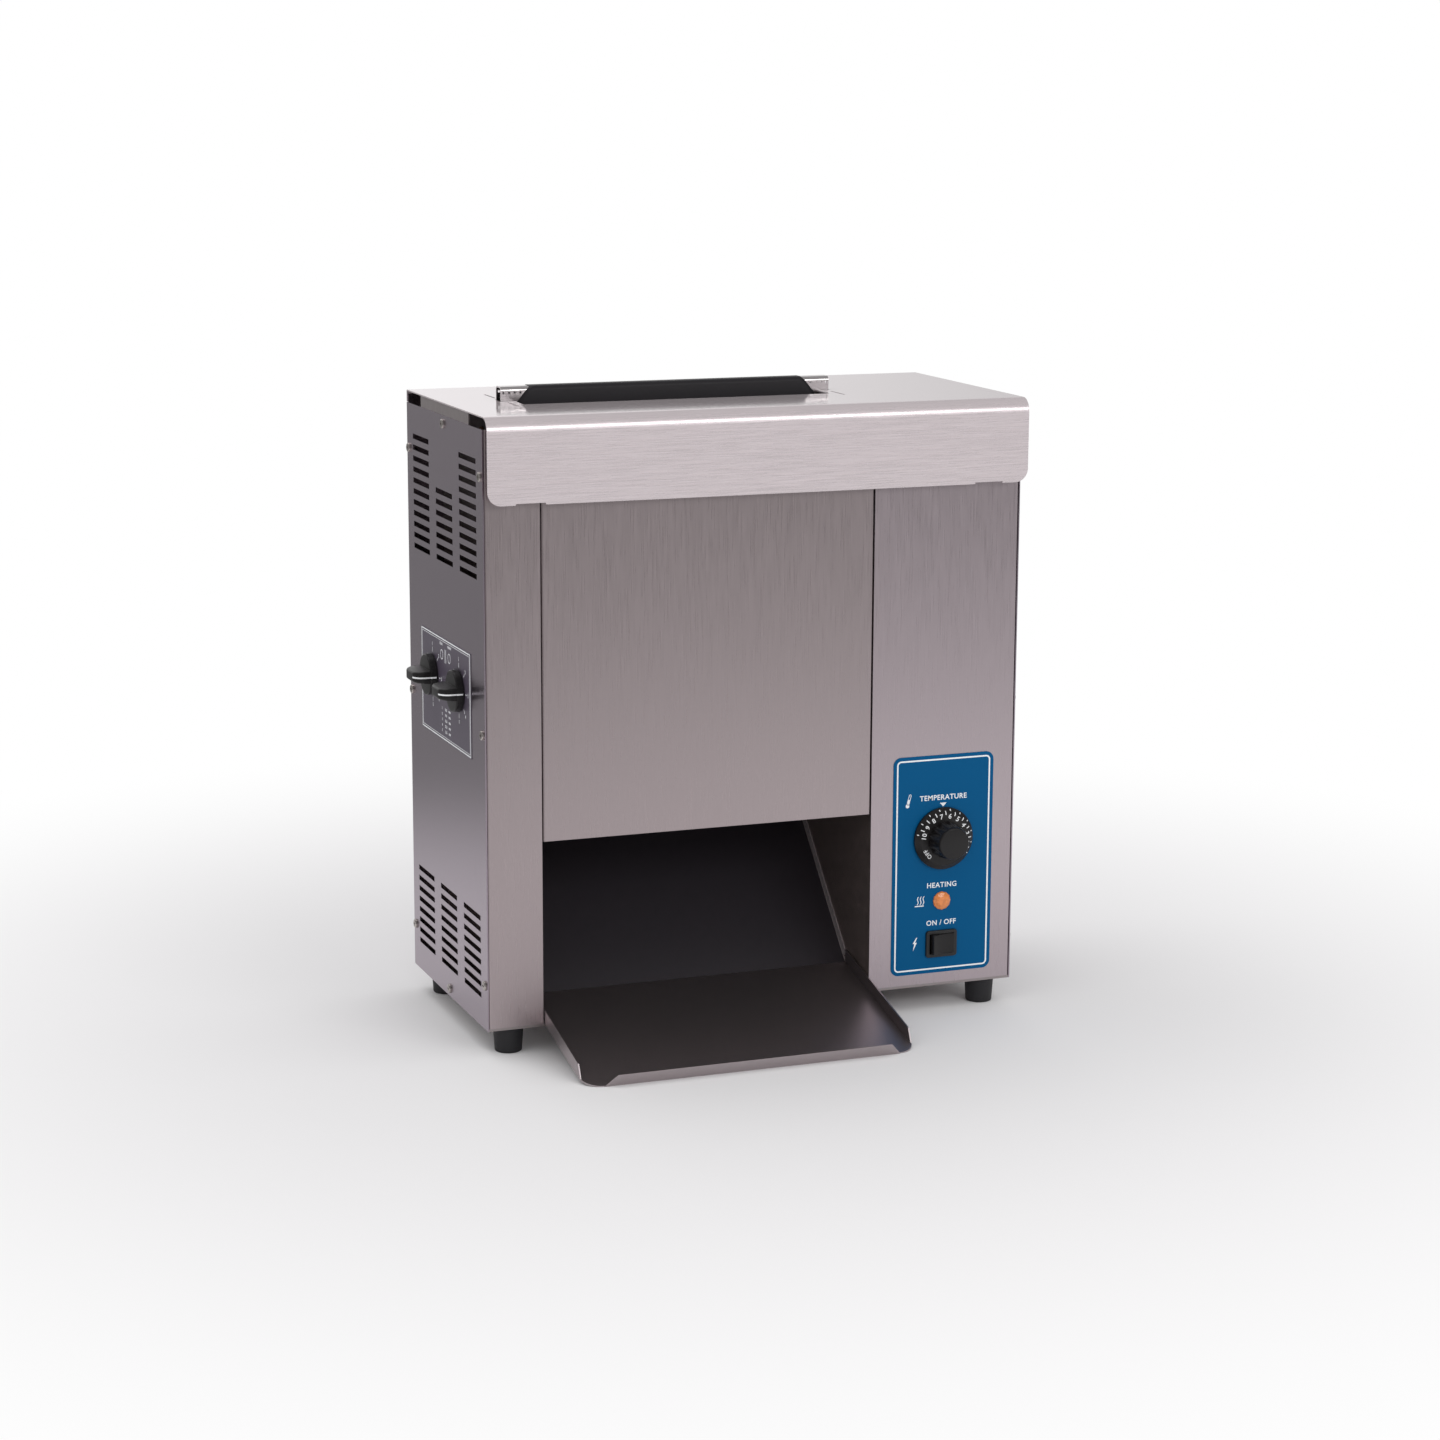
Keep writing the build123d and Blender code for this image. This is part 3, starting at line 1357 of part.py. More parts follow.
def cord_gland():
    """Cord inlet: a nut and nose outside the rear cover, a threaded sleeve and a locknut inside."""
    thread = gland_bore + gland_wall
    outer = body_depth + gland_nut_height
    sleeve = rod_y(gland_x, body_depth - sheet - gland_inner_length, body_depth, gland_z, thread)
    plane = Plane(origin=(gland_x, body_depth, gland_z), x_dir=(1, 0, 0), z_dir=(0, 1, 0))
    nut = extrude(plane * RegularPolygon(gland_nut_radius, 6), amount=gland_nut_height)
    nose = Cone(thread + gland_wall / 2, thread, gland_nose)
    nose = Pos(gland_x, outer + gland_nose / 2, gland_z) * Rot(-90, 0, 0) * nose
    inside = Plane(origin=(gland_x, body_depth - sheet, gland_z), x_dir=(1, 0, 0), z_dir=(0, -1, 0))
    locknut = extrude(inside * RegularPolygon(gland_nut_radius, 6), amount=gland_locknut_height)
    gland = fused([sleeve, nut, nose, locknut])
    bore_front = body_depth - sheet - gland_inner_length - overrun
    return gland - rod_y(gland_x, bore_front, outer + gland_nose + overrun, gland_z, gland_bore)


def build_nodes():
    """Every piece by name, in the case's own frame."""
    nodes = {
        "base_pan": base_pan(),
        "rubber_feet": rubber_feet(),
        "foot_screws": foot_screws(),
        "left_bulkhead": bulkhead(lane_left, -1),
        "right_bulkhead": bulkhead(lane_right, 1),
        "left_side_panel": side_panel(case_left, -1),
        "left_panel_screws": side_screws(case_left, -1),
        "right_side_panel": side_panel(case_right, 1),
        "right_panel_screws": side_screws(case_right, 1),
        "rear_cover": rear_cover(),
        "rear_cover_screws": rear_cover_screws(),
        "front_left_column": front_left_column(),
        "control_column": control_column(),
        "control_label": control_label(),
        "adjustment_label": adjustment_label(),
        "top_cover": top_cover(),
        "front_cover": front_cover(),
        "cover_hanger_rod": cover_hanger_rod(),
        "platen": platen(),
        "heating_elements": heating_elements(),
        "platen_brackets": platen_brackets(),
        "platen_cap": platen_cap(),
        "release_sheet": release_sheet(),
        "tie_rods": tie_rods(),
        "shaft_bushings": shaft_bushings(),
        "gearmotor": gearmotor(),
        "motor_bracket": motor_bracket(),
        "motor_shaft": motor_shaft(),
        "motor_sprocket": chain_sprocket(motor_height),
        "driven_sprocket": chain_sprocket(drive_shaft_height),
        "drive_chain": drive_chain(),
        "bun_chute": bun_chute(),
        "bun_tray": bun_tray(),
        "thermostat_body": thermostat_body(),
        "thermostat_stem": thermostat_stem(),
        "thermostat_dial": thermostat_dial(),
        "indicator_lens": indicator_lens(),
        "indicator_lamp_body": indicator_lamp_body(),
        "switch_body": switch_body(),
        "switch_rocker": switch_rocker(),
        "terminal_block": terminal_block(),
        "cord_gland": cord_gland(),
    }
    for lane, sign in both_lanes().items():
        nodes[f"{lane}_belt"] = belt(sign)
        nodes[f"{lane}_drive_shaft"] = drive_shaft(sign)
        nodes[f"{lane}_drive_sprockets"] = drive_sprockets(sign)
        nodes[f"{lane}_drive_gear"] = drive_gear(sign)
        nodes[f"{lane}_idler_shaft"] = idler_shaft(sign)
        nodes[f"{lane}_idler_rollers"] = idler_rollers(sign)
        nodes[f"{lane}_pressure_plate"] = pressure_plate(sign)
        nodes[f"{lane}_camshaft"] = camshaft(sign)
    for lane, sign in both_lanes().items():
        nodes[f"{lane}_pressure_knob"] = pressure_knob(sign)
    return nodes


def main():
    """Build the pieces, move them so that the origin is under the middle of the box, and write them."""
    reach_left = case_left - label_thickness - knob_gap - knob_skirt_height - knob_grip_reach
    reach_right = case_right + screw_head_height
    reach_front = -tray_reach - tray_lip_lean
    reach_rear = body_depth + gland_nut_height + gland_nose
    origin_x = (reach_left + reach_right) / 2
    origin_y = (reach_front + reach_rear) / 2
    place = Pos(-origin_x, -origin_y, foot_height)
    os.makedirs("parts", exist_ok=True)
    for name, shape in build_nodes().items():
        export_step(place * shape, f"parts/{name}.step")
    print("case middle at x", round(-origin_x, 4), "front face at y", round(-origin_y, 4))
    print("belt pitch", round(belt_pitch, 4), "idler height", round(idler_shaft_height, 4))
    print("cam rate, mm per radian", round(cam_rate, 6))


main()
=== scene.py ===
import json
import math

import bmesh
import bpy
from bpy.props import FloatProperty, FloatVectorProperty, IntProperty, PointerProperty
from mathutils import Matrix, Vector


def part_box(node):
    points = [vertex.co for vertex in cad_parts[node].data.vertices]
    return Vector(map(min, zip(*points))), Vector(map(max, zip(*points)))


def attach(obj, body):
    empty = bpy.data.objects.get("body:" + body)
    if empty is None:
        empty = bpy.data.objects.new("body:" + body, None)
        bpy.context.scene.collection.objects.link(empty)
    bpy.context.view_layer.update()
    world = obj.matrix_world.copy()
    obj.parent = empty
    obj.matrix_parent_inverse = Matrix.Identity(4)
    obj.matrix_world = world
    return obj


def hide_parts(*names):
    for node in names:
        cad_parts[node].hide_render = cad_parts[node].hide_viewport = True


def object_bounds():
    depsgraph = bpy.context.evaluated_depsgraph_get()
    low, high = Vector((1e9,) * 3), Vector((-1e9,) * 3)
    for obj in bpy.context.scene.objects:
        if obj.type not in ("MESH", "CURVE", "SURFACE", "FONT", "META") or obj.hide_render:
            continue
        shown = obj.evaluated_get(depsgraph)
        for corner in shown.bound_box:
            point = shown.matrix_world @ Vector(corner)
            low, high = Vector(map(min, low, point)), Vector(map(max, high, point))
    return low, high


# Vertical contact toaster: its stage, its finishes, and the pieces modelled round its construction.
# Metres, +Z up, front towards -Y, in the construction's own frame.

bl_info = {
    "name": "Vertical contact toaster",
    "version": (1, 0, 0),
    "blender": (4, 5, 0),
    "location": "View3D > Sidebar > Toaster",
    "description": "Stage, finishes and detailed pieces of a countertop bun toaster",
    "category": "Object",
}

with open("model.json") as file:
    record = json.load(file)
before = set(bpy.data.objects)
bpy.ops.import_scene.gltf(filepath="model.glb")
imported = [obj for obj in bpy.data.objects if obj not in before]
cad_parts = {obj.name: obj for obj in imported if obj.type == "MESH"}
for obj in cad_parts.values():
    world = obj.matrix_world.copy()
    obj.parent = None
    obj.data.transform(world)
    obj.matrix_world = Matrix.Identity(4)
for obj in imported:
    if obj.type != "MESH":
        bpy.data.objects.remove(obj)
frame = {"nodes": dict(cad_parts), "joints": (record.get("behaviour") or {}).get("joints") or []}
cad_low, cad_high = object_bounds()

MM = 0.001
FULL_TURN = 2 * math.pi
# Points nearer than this are one point
TOUCHING = 1e-6
# An edge that bends more than this gets a rounding
SHARP = math.radians(40)
WHITE = (1, 1, 1, 1)

# A piece is modelled facing +Z and then turned to the face of the case that it sits on
FRONT_FACE = Matrix.Rotation(math.radians(90), 4, "X")
LEFT_FACE = Matrix.Rotation(math.radians(-90), 4, "Z") @ FRONT_FACE
LANES = ("front", "rear")
# Marked settings of each pressure knob
SETTINGS_COUNT = 5


def linear(hex_colour):
    """Linear colour of an sRGB hex value."""
    digits = hex_colour.lstrip("#")
    channels = [int(digits[start:start + 2], 16) / 255 for start in (0, 2, 4)]
    return [c / 12.92 if c <= 0.04045 else ((c + 0.055) / 1.055) ** 2.4 for c in channels]


def length(name, description, millimetres):
    """Length property, its default given in millimetres."""
    default = millimetres * MM
    return FloatProperty(name=name, description=description, default=default, unit="LENGTH", precision=5)


def turn(name, description, degrees):
    """Angle property, its default given in degrees."""
    return FloatProperty(name=name, description=description, default=math.radians(degrees), unit="ROTATION")


def tint(name, description, hex_colour):
    """Colour property, its default given as an sRGB hex value."""
    return FloatVectorProperty(name=name, description=description, default=linear(hex_colour), size=3,
                               subtype="COLOR", min=0, max=1)


def place(name, description, default):
    """Place property, in metres."""
    return FloatVectorProperty(name=name, description=description, default=default, size=3, unit="LENGTH")


def number(name, description, default):
    """Plain number property."""
    return FloatProperty(name=name, description=description, default=default)


def power(name, description, watts):
    """Power property of a light."""
    return FloatProperty(name=name, description=description, default=watts, unit="POWER")


def middle(node):
    """Middle of a node's box."""
    low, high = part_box(node)
    return (low + high) / 2


def half_depth(node):
    """Half of a node's size from front to rear."""
    low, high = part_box(node)
    return (high.y - low.y) / 2


def front_seat(node):
    """Radius and reach of a round node on the front, and the matrix that puts its piece there."""
    low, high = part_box(node)
    centre = middle(node)
    spot = Matrix.Translation((centre.x, high.y, centre.z)) @ FRONT_FACE
    return (high.x - low.x) / 2, high.y - low.y, spot


class StageSettings(bpy.types.PropertyGroup):
    camera_place: place("Camera place", "Where the camera stands", (-1.10963, -2.90410, 0.93184))
    camera_lens: FloatProperty(name="Lens", description="Focal length", default=82.03, unit="CAMERA")
    camera_yaw: turn("Camera yaw", "Turn of the view to the right of +Y", 20.89)
    camera_pitch: turn("Camera pitch", "Drop of the view below the horizon", 11.63)
    camera_roll: turn("Camera roll", "Lean of the picture", 0.235)
    floor_radius: length("Floor radius", "Middle of the floor to its edge", 14000)
    shadow_near: length("Shadow near", "The floor shows its full shadow within this distance", 450)
    shadow_far: length("Shadow far", "The floor is plain beyond this distance", 1300)
    floor_colour: tint("Floor", "Pale matt floor", "#F4F3F4")
    world_fill: number("World fill", "Strength of the even light from all round", 0.80)
    bright_place: place("Bright place", "Middle of the brightest floor that metal mirrors", (0.85, -0.5, 0))
    bright_near: length("Bright near", "Metal mirrors the floor in full within this distance", 300)
    bright_far: length("Bright far", "Metal mirrors the dimmest floor beyond this distance", 2300)
    dim_level: number("Dim level", "Brightness that metal mirrors away from the white backdrop", 0.30)
    backdrop_way: FloatVectorProperty(name="Backdrop way", default=(-0.02, 0.98, 0.19), size=3,
                                      subtype="DIRECTION",
                                      description="Direction of the white backdrop's middle")
    backdrop_edge: number("Backdrop edge", "Cosine of the angle where the backdrop starts to fade in", 0.80)
    key_place: place("Key place", "Middle of the soft light in front", (1.0, -3.0, 1.65))
    key_width: length("Key width", "Width of the soft light in front", 1900)
    key_height: length("Key height", "Height of the soft light in front", 800)
    key_power: power("Key power", "Power of the light in front", 20)
    back_place: place("Back place", "Middle of the soft light overhead", (-0.9, 0.9, 2.8))
    back_width: length("Back width", "Width of the soft light overhead", 1800)
    back_height: length("Back height", "Height of the soft light overhead", 1200)
    back_power: power("Back power", "Power of the light overhead", 10)


class SteelSettings(bpy.types.PropertyGroup):
    front_colour: tint("Front", "Brushed sheet of the left column and the front cover", "#B2A6A8")
    # The control column's paler colour is painted light, on the same stainless as the front
    column_colour: tint("Control column", "Brushed sheet of the control column, a paler one", "#BBAFB4")
    # The top cover's paler colour is painted light from above
    apron_colour: tint("Apron", "Brushed sheet of the top cover", "#EADFE2")
    apron_metal: number("Apron metal", "Share of mirror in the scattering surface of the top cover", 0.55)
    # The darker colour of the side panels and the rear cover is painted shade
    side_colour: tint("Side", "Satin sheet of the side panels and the rear cover", "#A498A2")
    cap_colour: tint("Divider", "Bright sheet of the divider", "#E6E1E2")
    tray_colour: tint("Tray", "Sheet of the tray", "#B4ABAD")
    coating_colour: tint("Coating", "Black release coating of the chute", "#2B272C")
    # The dark colour of the lane walls is painted shade of the deep lane
    browned_colour: tint("Browned", "Sheet inside the lane, browned by heat", "#9C8E8B")
    inner_colour: tint("Inner", "Plain sheet inside the case", "#A49C9C")
    scratch_width: length("Scratch width", "Width of one brushed scratch, drawn as coarse as it shows", 0.7)
    scratch_length: length("Scratch length", "Length of one brushed scratch", 32)
    scratch_depth: length("Scratch depth", "Relief of the brushed scratches", 0.007)
    # Height and fade of the painted shade on the lane walls
    browned_top: length("Browned top", "Height up to which heat has browned the walls of the lane", 420)
    browned_fade: length("Browned fade", "Height over which the browning fades out", 90)
    sheet: length("Sheet", "Thickness of the sheets of the case", 1.2)
    hem_height: length("Hem height", "Rise of the rear cover's top hem behind the lip above it", 8)
    hem_thickness: length("Hem thickness", "Thickness of that hem", 1)
    hem_inset: length("Hem inset", "Room that the hem leaves for the rear cover's bent corner", 6)
    polish_depth: length("Polished depth", "Depth below the top that wiping has polished", 6)
    polish_rough: number("Polished roughness", "Roughness of the wiped top", 0.10)
    bare_width: length("Bare width", "Bare strip along each side flange of the chute", 1.8)
    bare_fade: length("Bare fade", "Width over which the strip's coating fades out", 0.5)
    bare_metal: number("Bare metal", "Share of mirror in the strip, whose cut edge scatters light", 0.5)


class PrintSettings(bpy.types.PropertyGroup):
    ink_thickness: length("Ink thickness", "Thickness of the printed marks", 0.12)
    ink_colour: tint("Ink", "White screen print", "#F2F4F6")
    blue_colour: tint("Blue film", "Polyester label of the controls", "#005484")
    grey_colour: tint("Grey film", "Polyester label of the pressure knobs", "#554D5B")
    border_inset: length("Border inset", "Label edge to the middle of its white line", 4.3)
    border_width: length("Border width", "Width of the white line", 1.5)
    label_corner: length("Label corner", "Radius of the control label's corners", 8)
    word_height: length("Word height", "Height of the capitals", 5.2)
    dial_word_rise: length("Dial word rise", "Dial axis to its word", 40.8)
    lamp_word_rise: length("Lamp word rise", "Lamp axis to its word", 16)
    switch_word_rise: length("Switch word rise", "Middle of the switch to its word", 21.2)
    pointer_rise: length("Pointer rise", "Dial axis to the tip of the pointer mark", 31.4)
    pointer_height: length("Pointer height", "Height of the pointer mark", 3.8)
    pointer_width: length("Pointer width", "Width of the pointer mark", 7.2)
    thermometer_left: length("Thermometer left", "Label's middle line to the thermometer mark", 36.7)
    thermometer_rise: length("Thermometer rise", "Dial axis to the thermometer mark", 39.4)
    thermometer_lean: turn("Thermometer lean", "Turn of the thermometer mark", -15)
    waves_left: length("Waves left", "Label's middle line to the heat mark", 23.2)
    waves_rise: length("Waves rise", "Lamp axis to the middle of the heat mark", 1.5)
    bolt_left: length("Bolt left", "Label's middle line to the power mark", 28)
    bolt_rise: length("Bolt rise", "Middle of the switch to the power mark", 1)


class SideLabelSettings(bpy.types.PropertyGroup):
    outer_inset: length("Outer inset", "Label edge to its outer line", 0.9)
    outer_line: length("Outer line", "Width of the outer line", 1.1)
    inner_inset: length("Inner inset", "Label edge to its inner line", 3.4)
    inner_line: length("Inner line", "Width of the inner line", 0.45)
    word_height: length("Word height", "Height of the words and of the table's numbers", 2.6)
    word_drop: length("Word drop", "Label's top to the words", 6.6)
    word_side: length("Word side", "Label's middle to the middle of a word", 14)
    bun_drop: length("Bun drop", "Label's top to the middle of the two outlined buns", 17)
    bun_side: length("Bun side", "Label's middle to the middle of an outlined bun", 12.5)
    bun_width: length("Bun width", "Width of an outlined bun", 8.5)
    bun_height: length("Bun height", "Height of an outlined bun", 9.5)
    bun_corner: length("Bun corner", "Corner radius of an outlined bun", 3.9)
    bun_line: length("Bun line", "Width of the outline", 0.7)
    platen_height: length("Platen height", "Height of the two bars that stand for the platen", 13)
    platen_side: length("Platen side", "Label's middle to the middle of such a bar", 1.5)
    table_rise: length("Table rise", "Label's bottom to the first row of the table", 31)
    table_step: length("Table step", "One row of the table to the next", 5.4)
    setting_side: length("Setting side", "Label's middle to the column of settings", 13)
    unit_side: length("Unit side", "Label's middle to the column of units", 12)
    unit_height: length("Unit height", "Height of the units", 2)
    first_gap: number("First gap", "Gap in millimetres at the first setting", 18.5)
    gap_step: number("Gap step", "Millimetres that each setting adds to the gap", 1.25)
    tick_width: length("Tick width", "Width of a mark round a knob and of the platen's bars", 0.8)
    tick_gap: length("Tick gap", "Knob's skirt to the marks round it", 2)
    tick_length: length("Tick length", "Length of a mark with a number", 4.6)
    small_tick_length: length("Small tick length", "Length of a mark without a number", 2.6)
    number_radius: length("Number radius", "Knob axis to its numbers", 30)
    number_height: length("Number height", "Height of the numbers round a knob", 3.4)
    tick_step: turn("Tick step", "Angle from one mark round a knob to the next", 45)


class DialSettings(bpy.types.PropertyGroup):
    rim: length("Rim", "Straight edge of the skirt", 2)
    face_radius: length("Face radius", "Flat face of the skirt", 26)
    skirt_depth: length("Skirt depth", "Back of the skirt to its face", 6)
    wall: length("Wall", "Thickness of the moulded wall", 1.6)
    grip_base_radius: length("Grip base radius", "Grip where it meets the skirt", 18.6)
    grip_top_radius: length("Grip top radius", "Round cap of the grip", 15.8)
    flute_depth: length("Flute depth", "Depth of the flutes at the foot of the grip", 2.6)
    flutes: IntProperty(name="Flutes", description="Flutes round the grip", default=12)
    cap_edge: length("Cap edge", "Step in from the grip to its flat cap", 0.6)
    cap_round: length("Cap round", "Rounding of the cap's edge", 0.8)
    grip_sink: length("Grip sink", "How deep the grip starts inside the skirt", 0.5)
    number_radius: length("Number radius", "Dial axis to the middle of its numbers", 23.2)
    number_height: length("Number height", "Height of the numbers", 5)
    off_height: length("Off height", "Height of the word OFF", 4.25)
    number_step: turn("Number step", "Angle from one number to the next", 22.4)
    pointer_reading: number("Reading", "Number under the pointer at rest", 6.5)
    off_angle: turn("Off angle", "Angle of the off mark, clockwise from the pointer", 234)
    tick_inner_radius: length("Tick inner radius", "Dial axis to the inner end of a half mark", 24.4)
    tick_outer_radius: length("Tick outer radius", "Dial axis to the outer end of a half mark", 28)
    tick_width: length("Tick width", "Width of a mark", 0.9)
    dot_inner_radius: length("Dot inner radius", "Dial axis to the inner end of a number's mark", 28.2)
    dot_outer_radius: length("Dot outer radius", "Dial axis to the outer end of a number's mark", 29.8)


class KnobSettings(bpy.types.PropertyGroup):
    skirt_height: length("Skirt height", "Thickness of the round skirt", 7)
    skirt_round: length("Skirt round", "Rounding of the skirt's edge", 1.4)
    wall: length("Wall", "Thickness of the moulded wall", 1.6)
    grip_sink: length("Grip sink", "How deep the grip starts inside the skirt", 0.4)
    grip_length: length("Grip length", "Length of the bar grip", 39)
    grip_thickness: length("Grip thickness", "Thickness of the bar grip at its foot", 13)
    grip_end_share: number("Grip end share", "Thickness at the outer end over that at the foot", 0.78)
    grip_shoulder: length("Grip shoulder", "Rounding of the grip's two shoulders", 10.6)
    grip_round: length("Grip round", "Rounding of the grip's long edges", 2)
    line_width: length("Line width", "Width of the white line", 1.5)
    line_depth: length("Line depth", "Thickness of the white line", 0.4)
    line_lift: length("Line lift", "How far the white line stands proud", 0.12)
    line_end: length("Line end", "Back of the skirt to the end of the white line", 1)


class LensSettings(bpy.types.PropertyGroup):
    facets: IntProperty(name="Facets", description="Facets round the lens", default=12)
    colour: tint("Lens", "Amber polycarbonate", "#DE8448")


class RockerSettings(bpy.types.PropertyGroup):
    tilt: turn("Tilt", "Lean of the rocker at rest", 8)
    width: length("Width", "Width of the rocker", 19.6)
    half_length: length("Half length", "Axis to each end of the pressed face", 11.8)
    crest: length("Crest", "Axis to the face at its ends", 8.5)
    valley: length("Valley", "Axis to the hollow middle of the face", 6.9)
    waist: length("Waist", "Axis to the widest place of each end", 12.2)
    waist_rise: length("Waist rise", "Axis to the height of that place", 2.6)
    root: length("Root", "Half the length at the back", 5.9)
    back: length("Back", "Axis to the back", 2.8)
    edge_round: length("Edge round", "Rounding of the edges", 0.5)


class FeetSettings(bpy.types.PropertyGroup):
    radius: length("Radius", "Radius at the base pan", 15)
    tip_radius: length("Tip radius", "Radius at the counter", 13)
    edge_round: length("Edge round", "Rounding of the lower edge", 1.6)
    collar: length("Collar", "Height of the straight collar under the base pan", 2.4)
    collar_edge: length("Collar edge", "Chamfer of the collar's upper edge", 0.8)
    collar_taper: length("Collar taper", "How much the collar narrows downwards", 0.1)
    collar_step: length("Collar step", "Step in and down under the collar", 0.6)
    bore: length("Bore", "Radius of the hole for the screw's head", 6)
    bore_depth: length("Bore depth", "Depth of that hole", 12)
    screw_radius: length("Screw radius", "Radius of the hole for the screw", 2)


class ClothSettings(bpy.types.PropertyGroup):
    thickness: length("Thickness", "Thickness of the coated glass cloth", 0.35)
    corner: length("Corner", "Cut corner beside the fold", 14)
    fold_radius: length("Fold radius", "Radius of the fold over the divider", 4)
    bulge: length("Bulge", "How far the hanging cloth stands off the platen", 0.6)
    tuck: length("Tuck", "Height over which the cloth narrows above the platen", 2)
    weave: length("Weave", "Thread spacing, drawn as coarse as it shows", 1.2)
    weave_relief: length("Weave relief", "Height of the threads", 0.04)
    colour: tint("Cloth", "Black coating on glass cloth", "#29262A")


def add_node(tree, kind, inputs=None, **settings):
    """Adds a node, sets its options, and fills or links its inputs."""
    node = tree.nodes.new(kind)
    for key, value in settings.items():
        setattr(node, key, value)
    for key, value in (inputs or {}).items():
        if isinstance(value, bpy.types.NodeSocket):
            tree.links.new(value, node.inputs[key])
        else:
            node.inputs[key].default_value = value
    return node


def from_to(value, start, end, low=0.0, high=1.0):
    """Inputs that map a value from one range to another."""
    return {"Value": value, "From Min": start, "From Max": end, "To Min": low, "To Max": high}


def opaque(colour, level=1.0):
    """Colour with an alpha of one, made lighter or darker by a level."""
    return (*[min(1.0, channel * level) for channel in colour], 1.0)


def blank_material(name):
    """New material and its empty node tree."""
    material = bpy.data.materials.new(name)
    material.use_nodes = True
    material.node_tree.nodes.clear()
    return material, material.node_tree


def shader_of(material):
    """The shader that a material is built round."""
    return next(node for node in material.node_tree.nodes if node.type == "BSDF_PRINCIPLED")


def grained(name, colour, grain, relief, variation=0.06, stretch=(1, 1, 1), rough=(0.4, 0.5), **shader):
    """Material whose colour, roughness and relief follow one fine grain.

    grain is the width of a grain and relief its height, in metres; stretch draws the grains out
    along an axis; rough is the roughness of the low and of the high places."""
    material, tree = blank_material(name)
    where = add_node(tree, "ShaderNodeTexCoord")
    scale = [1 / (grain * part) for part in stretch]
    space = add_node(tree, "ShaderNodeMapping", {"Vector": where.outputs["Object"], "Scale": scale})
    noise = add_node(tree, "ShaderNodeTexNoise", {"Vector": space.outputs[0], "Scale": 1.0, "Detail": 3.0})
    height = noise.outputs[0]
    spread = add_node(tree, "ShaderNodeMix", {0: height, 6: opaque(colour, 1 - variation),
                                              7: opaque(colour, 1 + variation)}, data_type="RGBA")
    roughness = add_node(tree, "ShaderNodeMapRange", from_to(height, 0.3, 0.7, *rough))
    bump = add_node(tree, "ShaderNodeBump", {"Height": height, "Strength": 1.0, "Distance": relief})
    inputs = {"Base Color": spread.outputs[2], "Roughness": roughness.outputs[0], "Normal": bump.outputs[0]}
    inputs.update({key.replace("_", " "): value for key, value in shader.items()})
    surface = add_node(tree, "ShaderNodeBsdfPrincipled", inputs)
    add_node(tree, "ShaderNodeOutputMaterial", {"Surface": surface.outputs[0]})
    return material


def brushed(name, colour, axis, rough, steel, share=1.0, metal=1.0):
    """Stainless sheet brushed along one axis: fine lines, and a highlight smeared across them.

    share is the part of the usual relief and contrast that a smoother sheet still has, and metal
    is below one where scratches scatter the light in all directions."""
    stretch = [1.0, 1.0, 1.0]
    stretch[axis] = steel.scratch_length / steel.scratch_width
    return grained(name, colour, grain=steel.scratch_width, relief=steel.scratch_depth * share,
                   variation=0.07 * share, stretch=stretch, rough=rough, Metallic=metal)


def swap_input(material, socket, build):
    """Replaces what feeds one socket of a material's shader by what build makes from it."""
    tree = material.node_tree
    entry = shader_of(material).inputs[socket]
    tree.links.new(build(tree, entry.links[0].from_socket), entry)


def object_axis(tree, axis):
    """One of the object coordinates."""
    where = add_node(tree, "ShaderNodeTexCoord")
    split = add_node(tree, "ShaderNodeSeparateXYZ", {"Vector": where.outputs["Object"]})
    return split.outputs[axis]


def polished_top(material, top, depth, polish):
    """The flat top of a bent sheet is wiped often, so it is smoother than its front."""
    def build(tree, before):
        span = from_to(object_axis(tree, "Z"), top - depth, top)
        fade = add_node(tree, "ShaderNodeMapRange", span, interpolation_type="SMOOTHSTEP")
        both = {0: fade.outputs[0], 2: before, 3: polish}
        return add_node(tree, "ShaderNodeMix", both, data_type="FLOAT").outputs[0]
    swap_input(material, "Roughness", build)


def dress(material, *nodes):
    """Gives nodes of the construction a finish."""
    for node in nodes:
        mesh = frame["nodes"][node].data
        mesh.materials.clear()
        mesh.materials.append(material)


def show(name, data):
    """Object made from a mesh, a light, a camera or letters, linked to the scene."""
    holder = bpy.data.objects.new(name, data)
    bpy.context.scene.collection.objects.link(holder)
    return holder


def finish_piece(name, shape, material, body, replaces=(), smooth_angle=35):
    """Turns a bmesh into a piece that rides on a body and takes its finish from a slot."""
    mesh = bpy.data.meshes.new(name)
    shape.to_mesh(mesh)
    shape.free()
    mesh.shade_smooth()
    mesh.set_sharp_from_angle(angle=math.radians(smooth_angle))
    mesh.materials.append(material)
    piece = show(name, mesh)
    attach(piece, body)
    if replaces:
        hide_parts(*replaces)
    return piece


def put(target, shape, matrix):
    """Adds a bmesh to another one, placed by a matrix."""
    mesh = bpy.data.meshes.new("part")
    shape.to_mesh(mesh)
    shape.free()
    mesh.transform(matrix)
    target.from_mesh(mesh)
    bpy.data.meshes.remove(mesh)


def moved(shape, matrix):
    """The same bmesh, moved by a matrix."""
    bmesh.ops.transform(shape, matrix=matrix, verts=list(shape.verts))
    return shape


def closed(shape):
    """The same bmesh, its faces pointing outwards."""
    bmesh.ops.recalc_face_normals(shape, faces=list(shape.faces))
    return shape


def extended(shape, face):
    """Extrudes one face and gives the face at its new end."""
    made = bmesh.ops.extrude_face_region(shape, geom=[face])
    return next(item for item in made["geom"] if isinstance(item, bmesh.types.BMFace))


def soften(shape, edges, size, segments):
    """Rounds some edges of a bmesh."""
    bmesh.ops.bevel(shape, geom=edges, offset=size, affect="EDGES", segments=segments, profile=0.5,
                    material=-1)


def standing(shape, depth):
    """A shape of some depth, centred on the origin and stood up, its depth along Y."""
    return moved(shape, FRONT_FACE @ Matrix.Translation((0, 0, -depth / 2)))


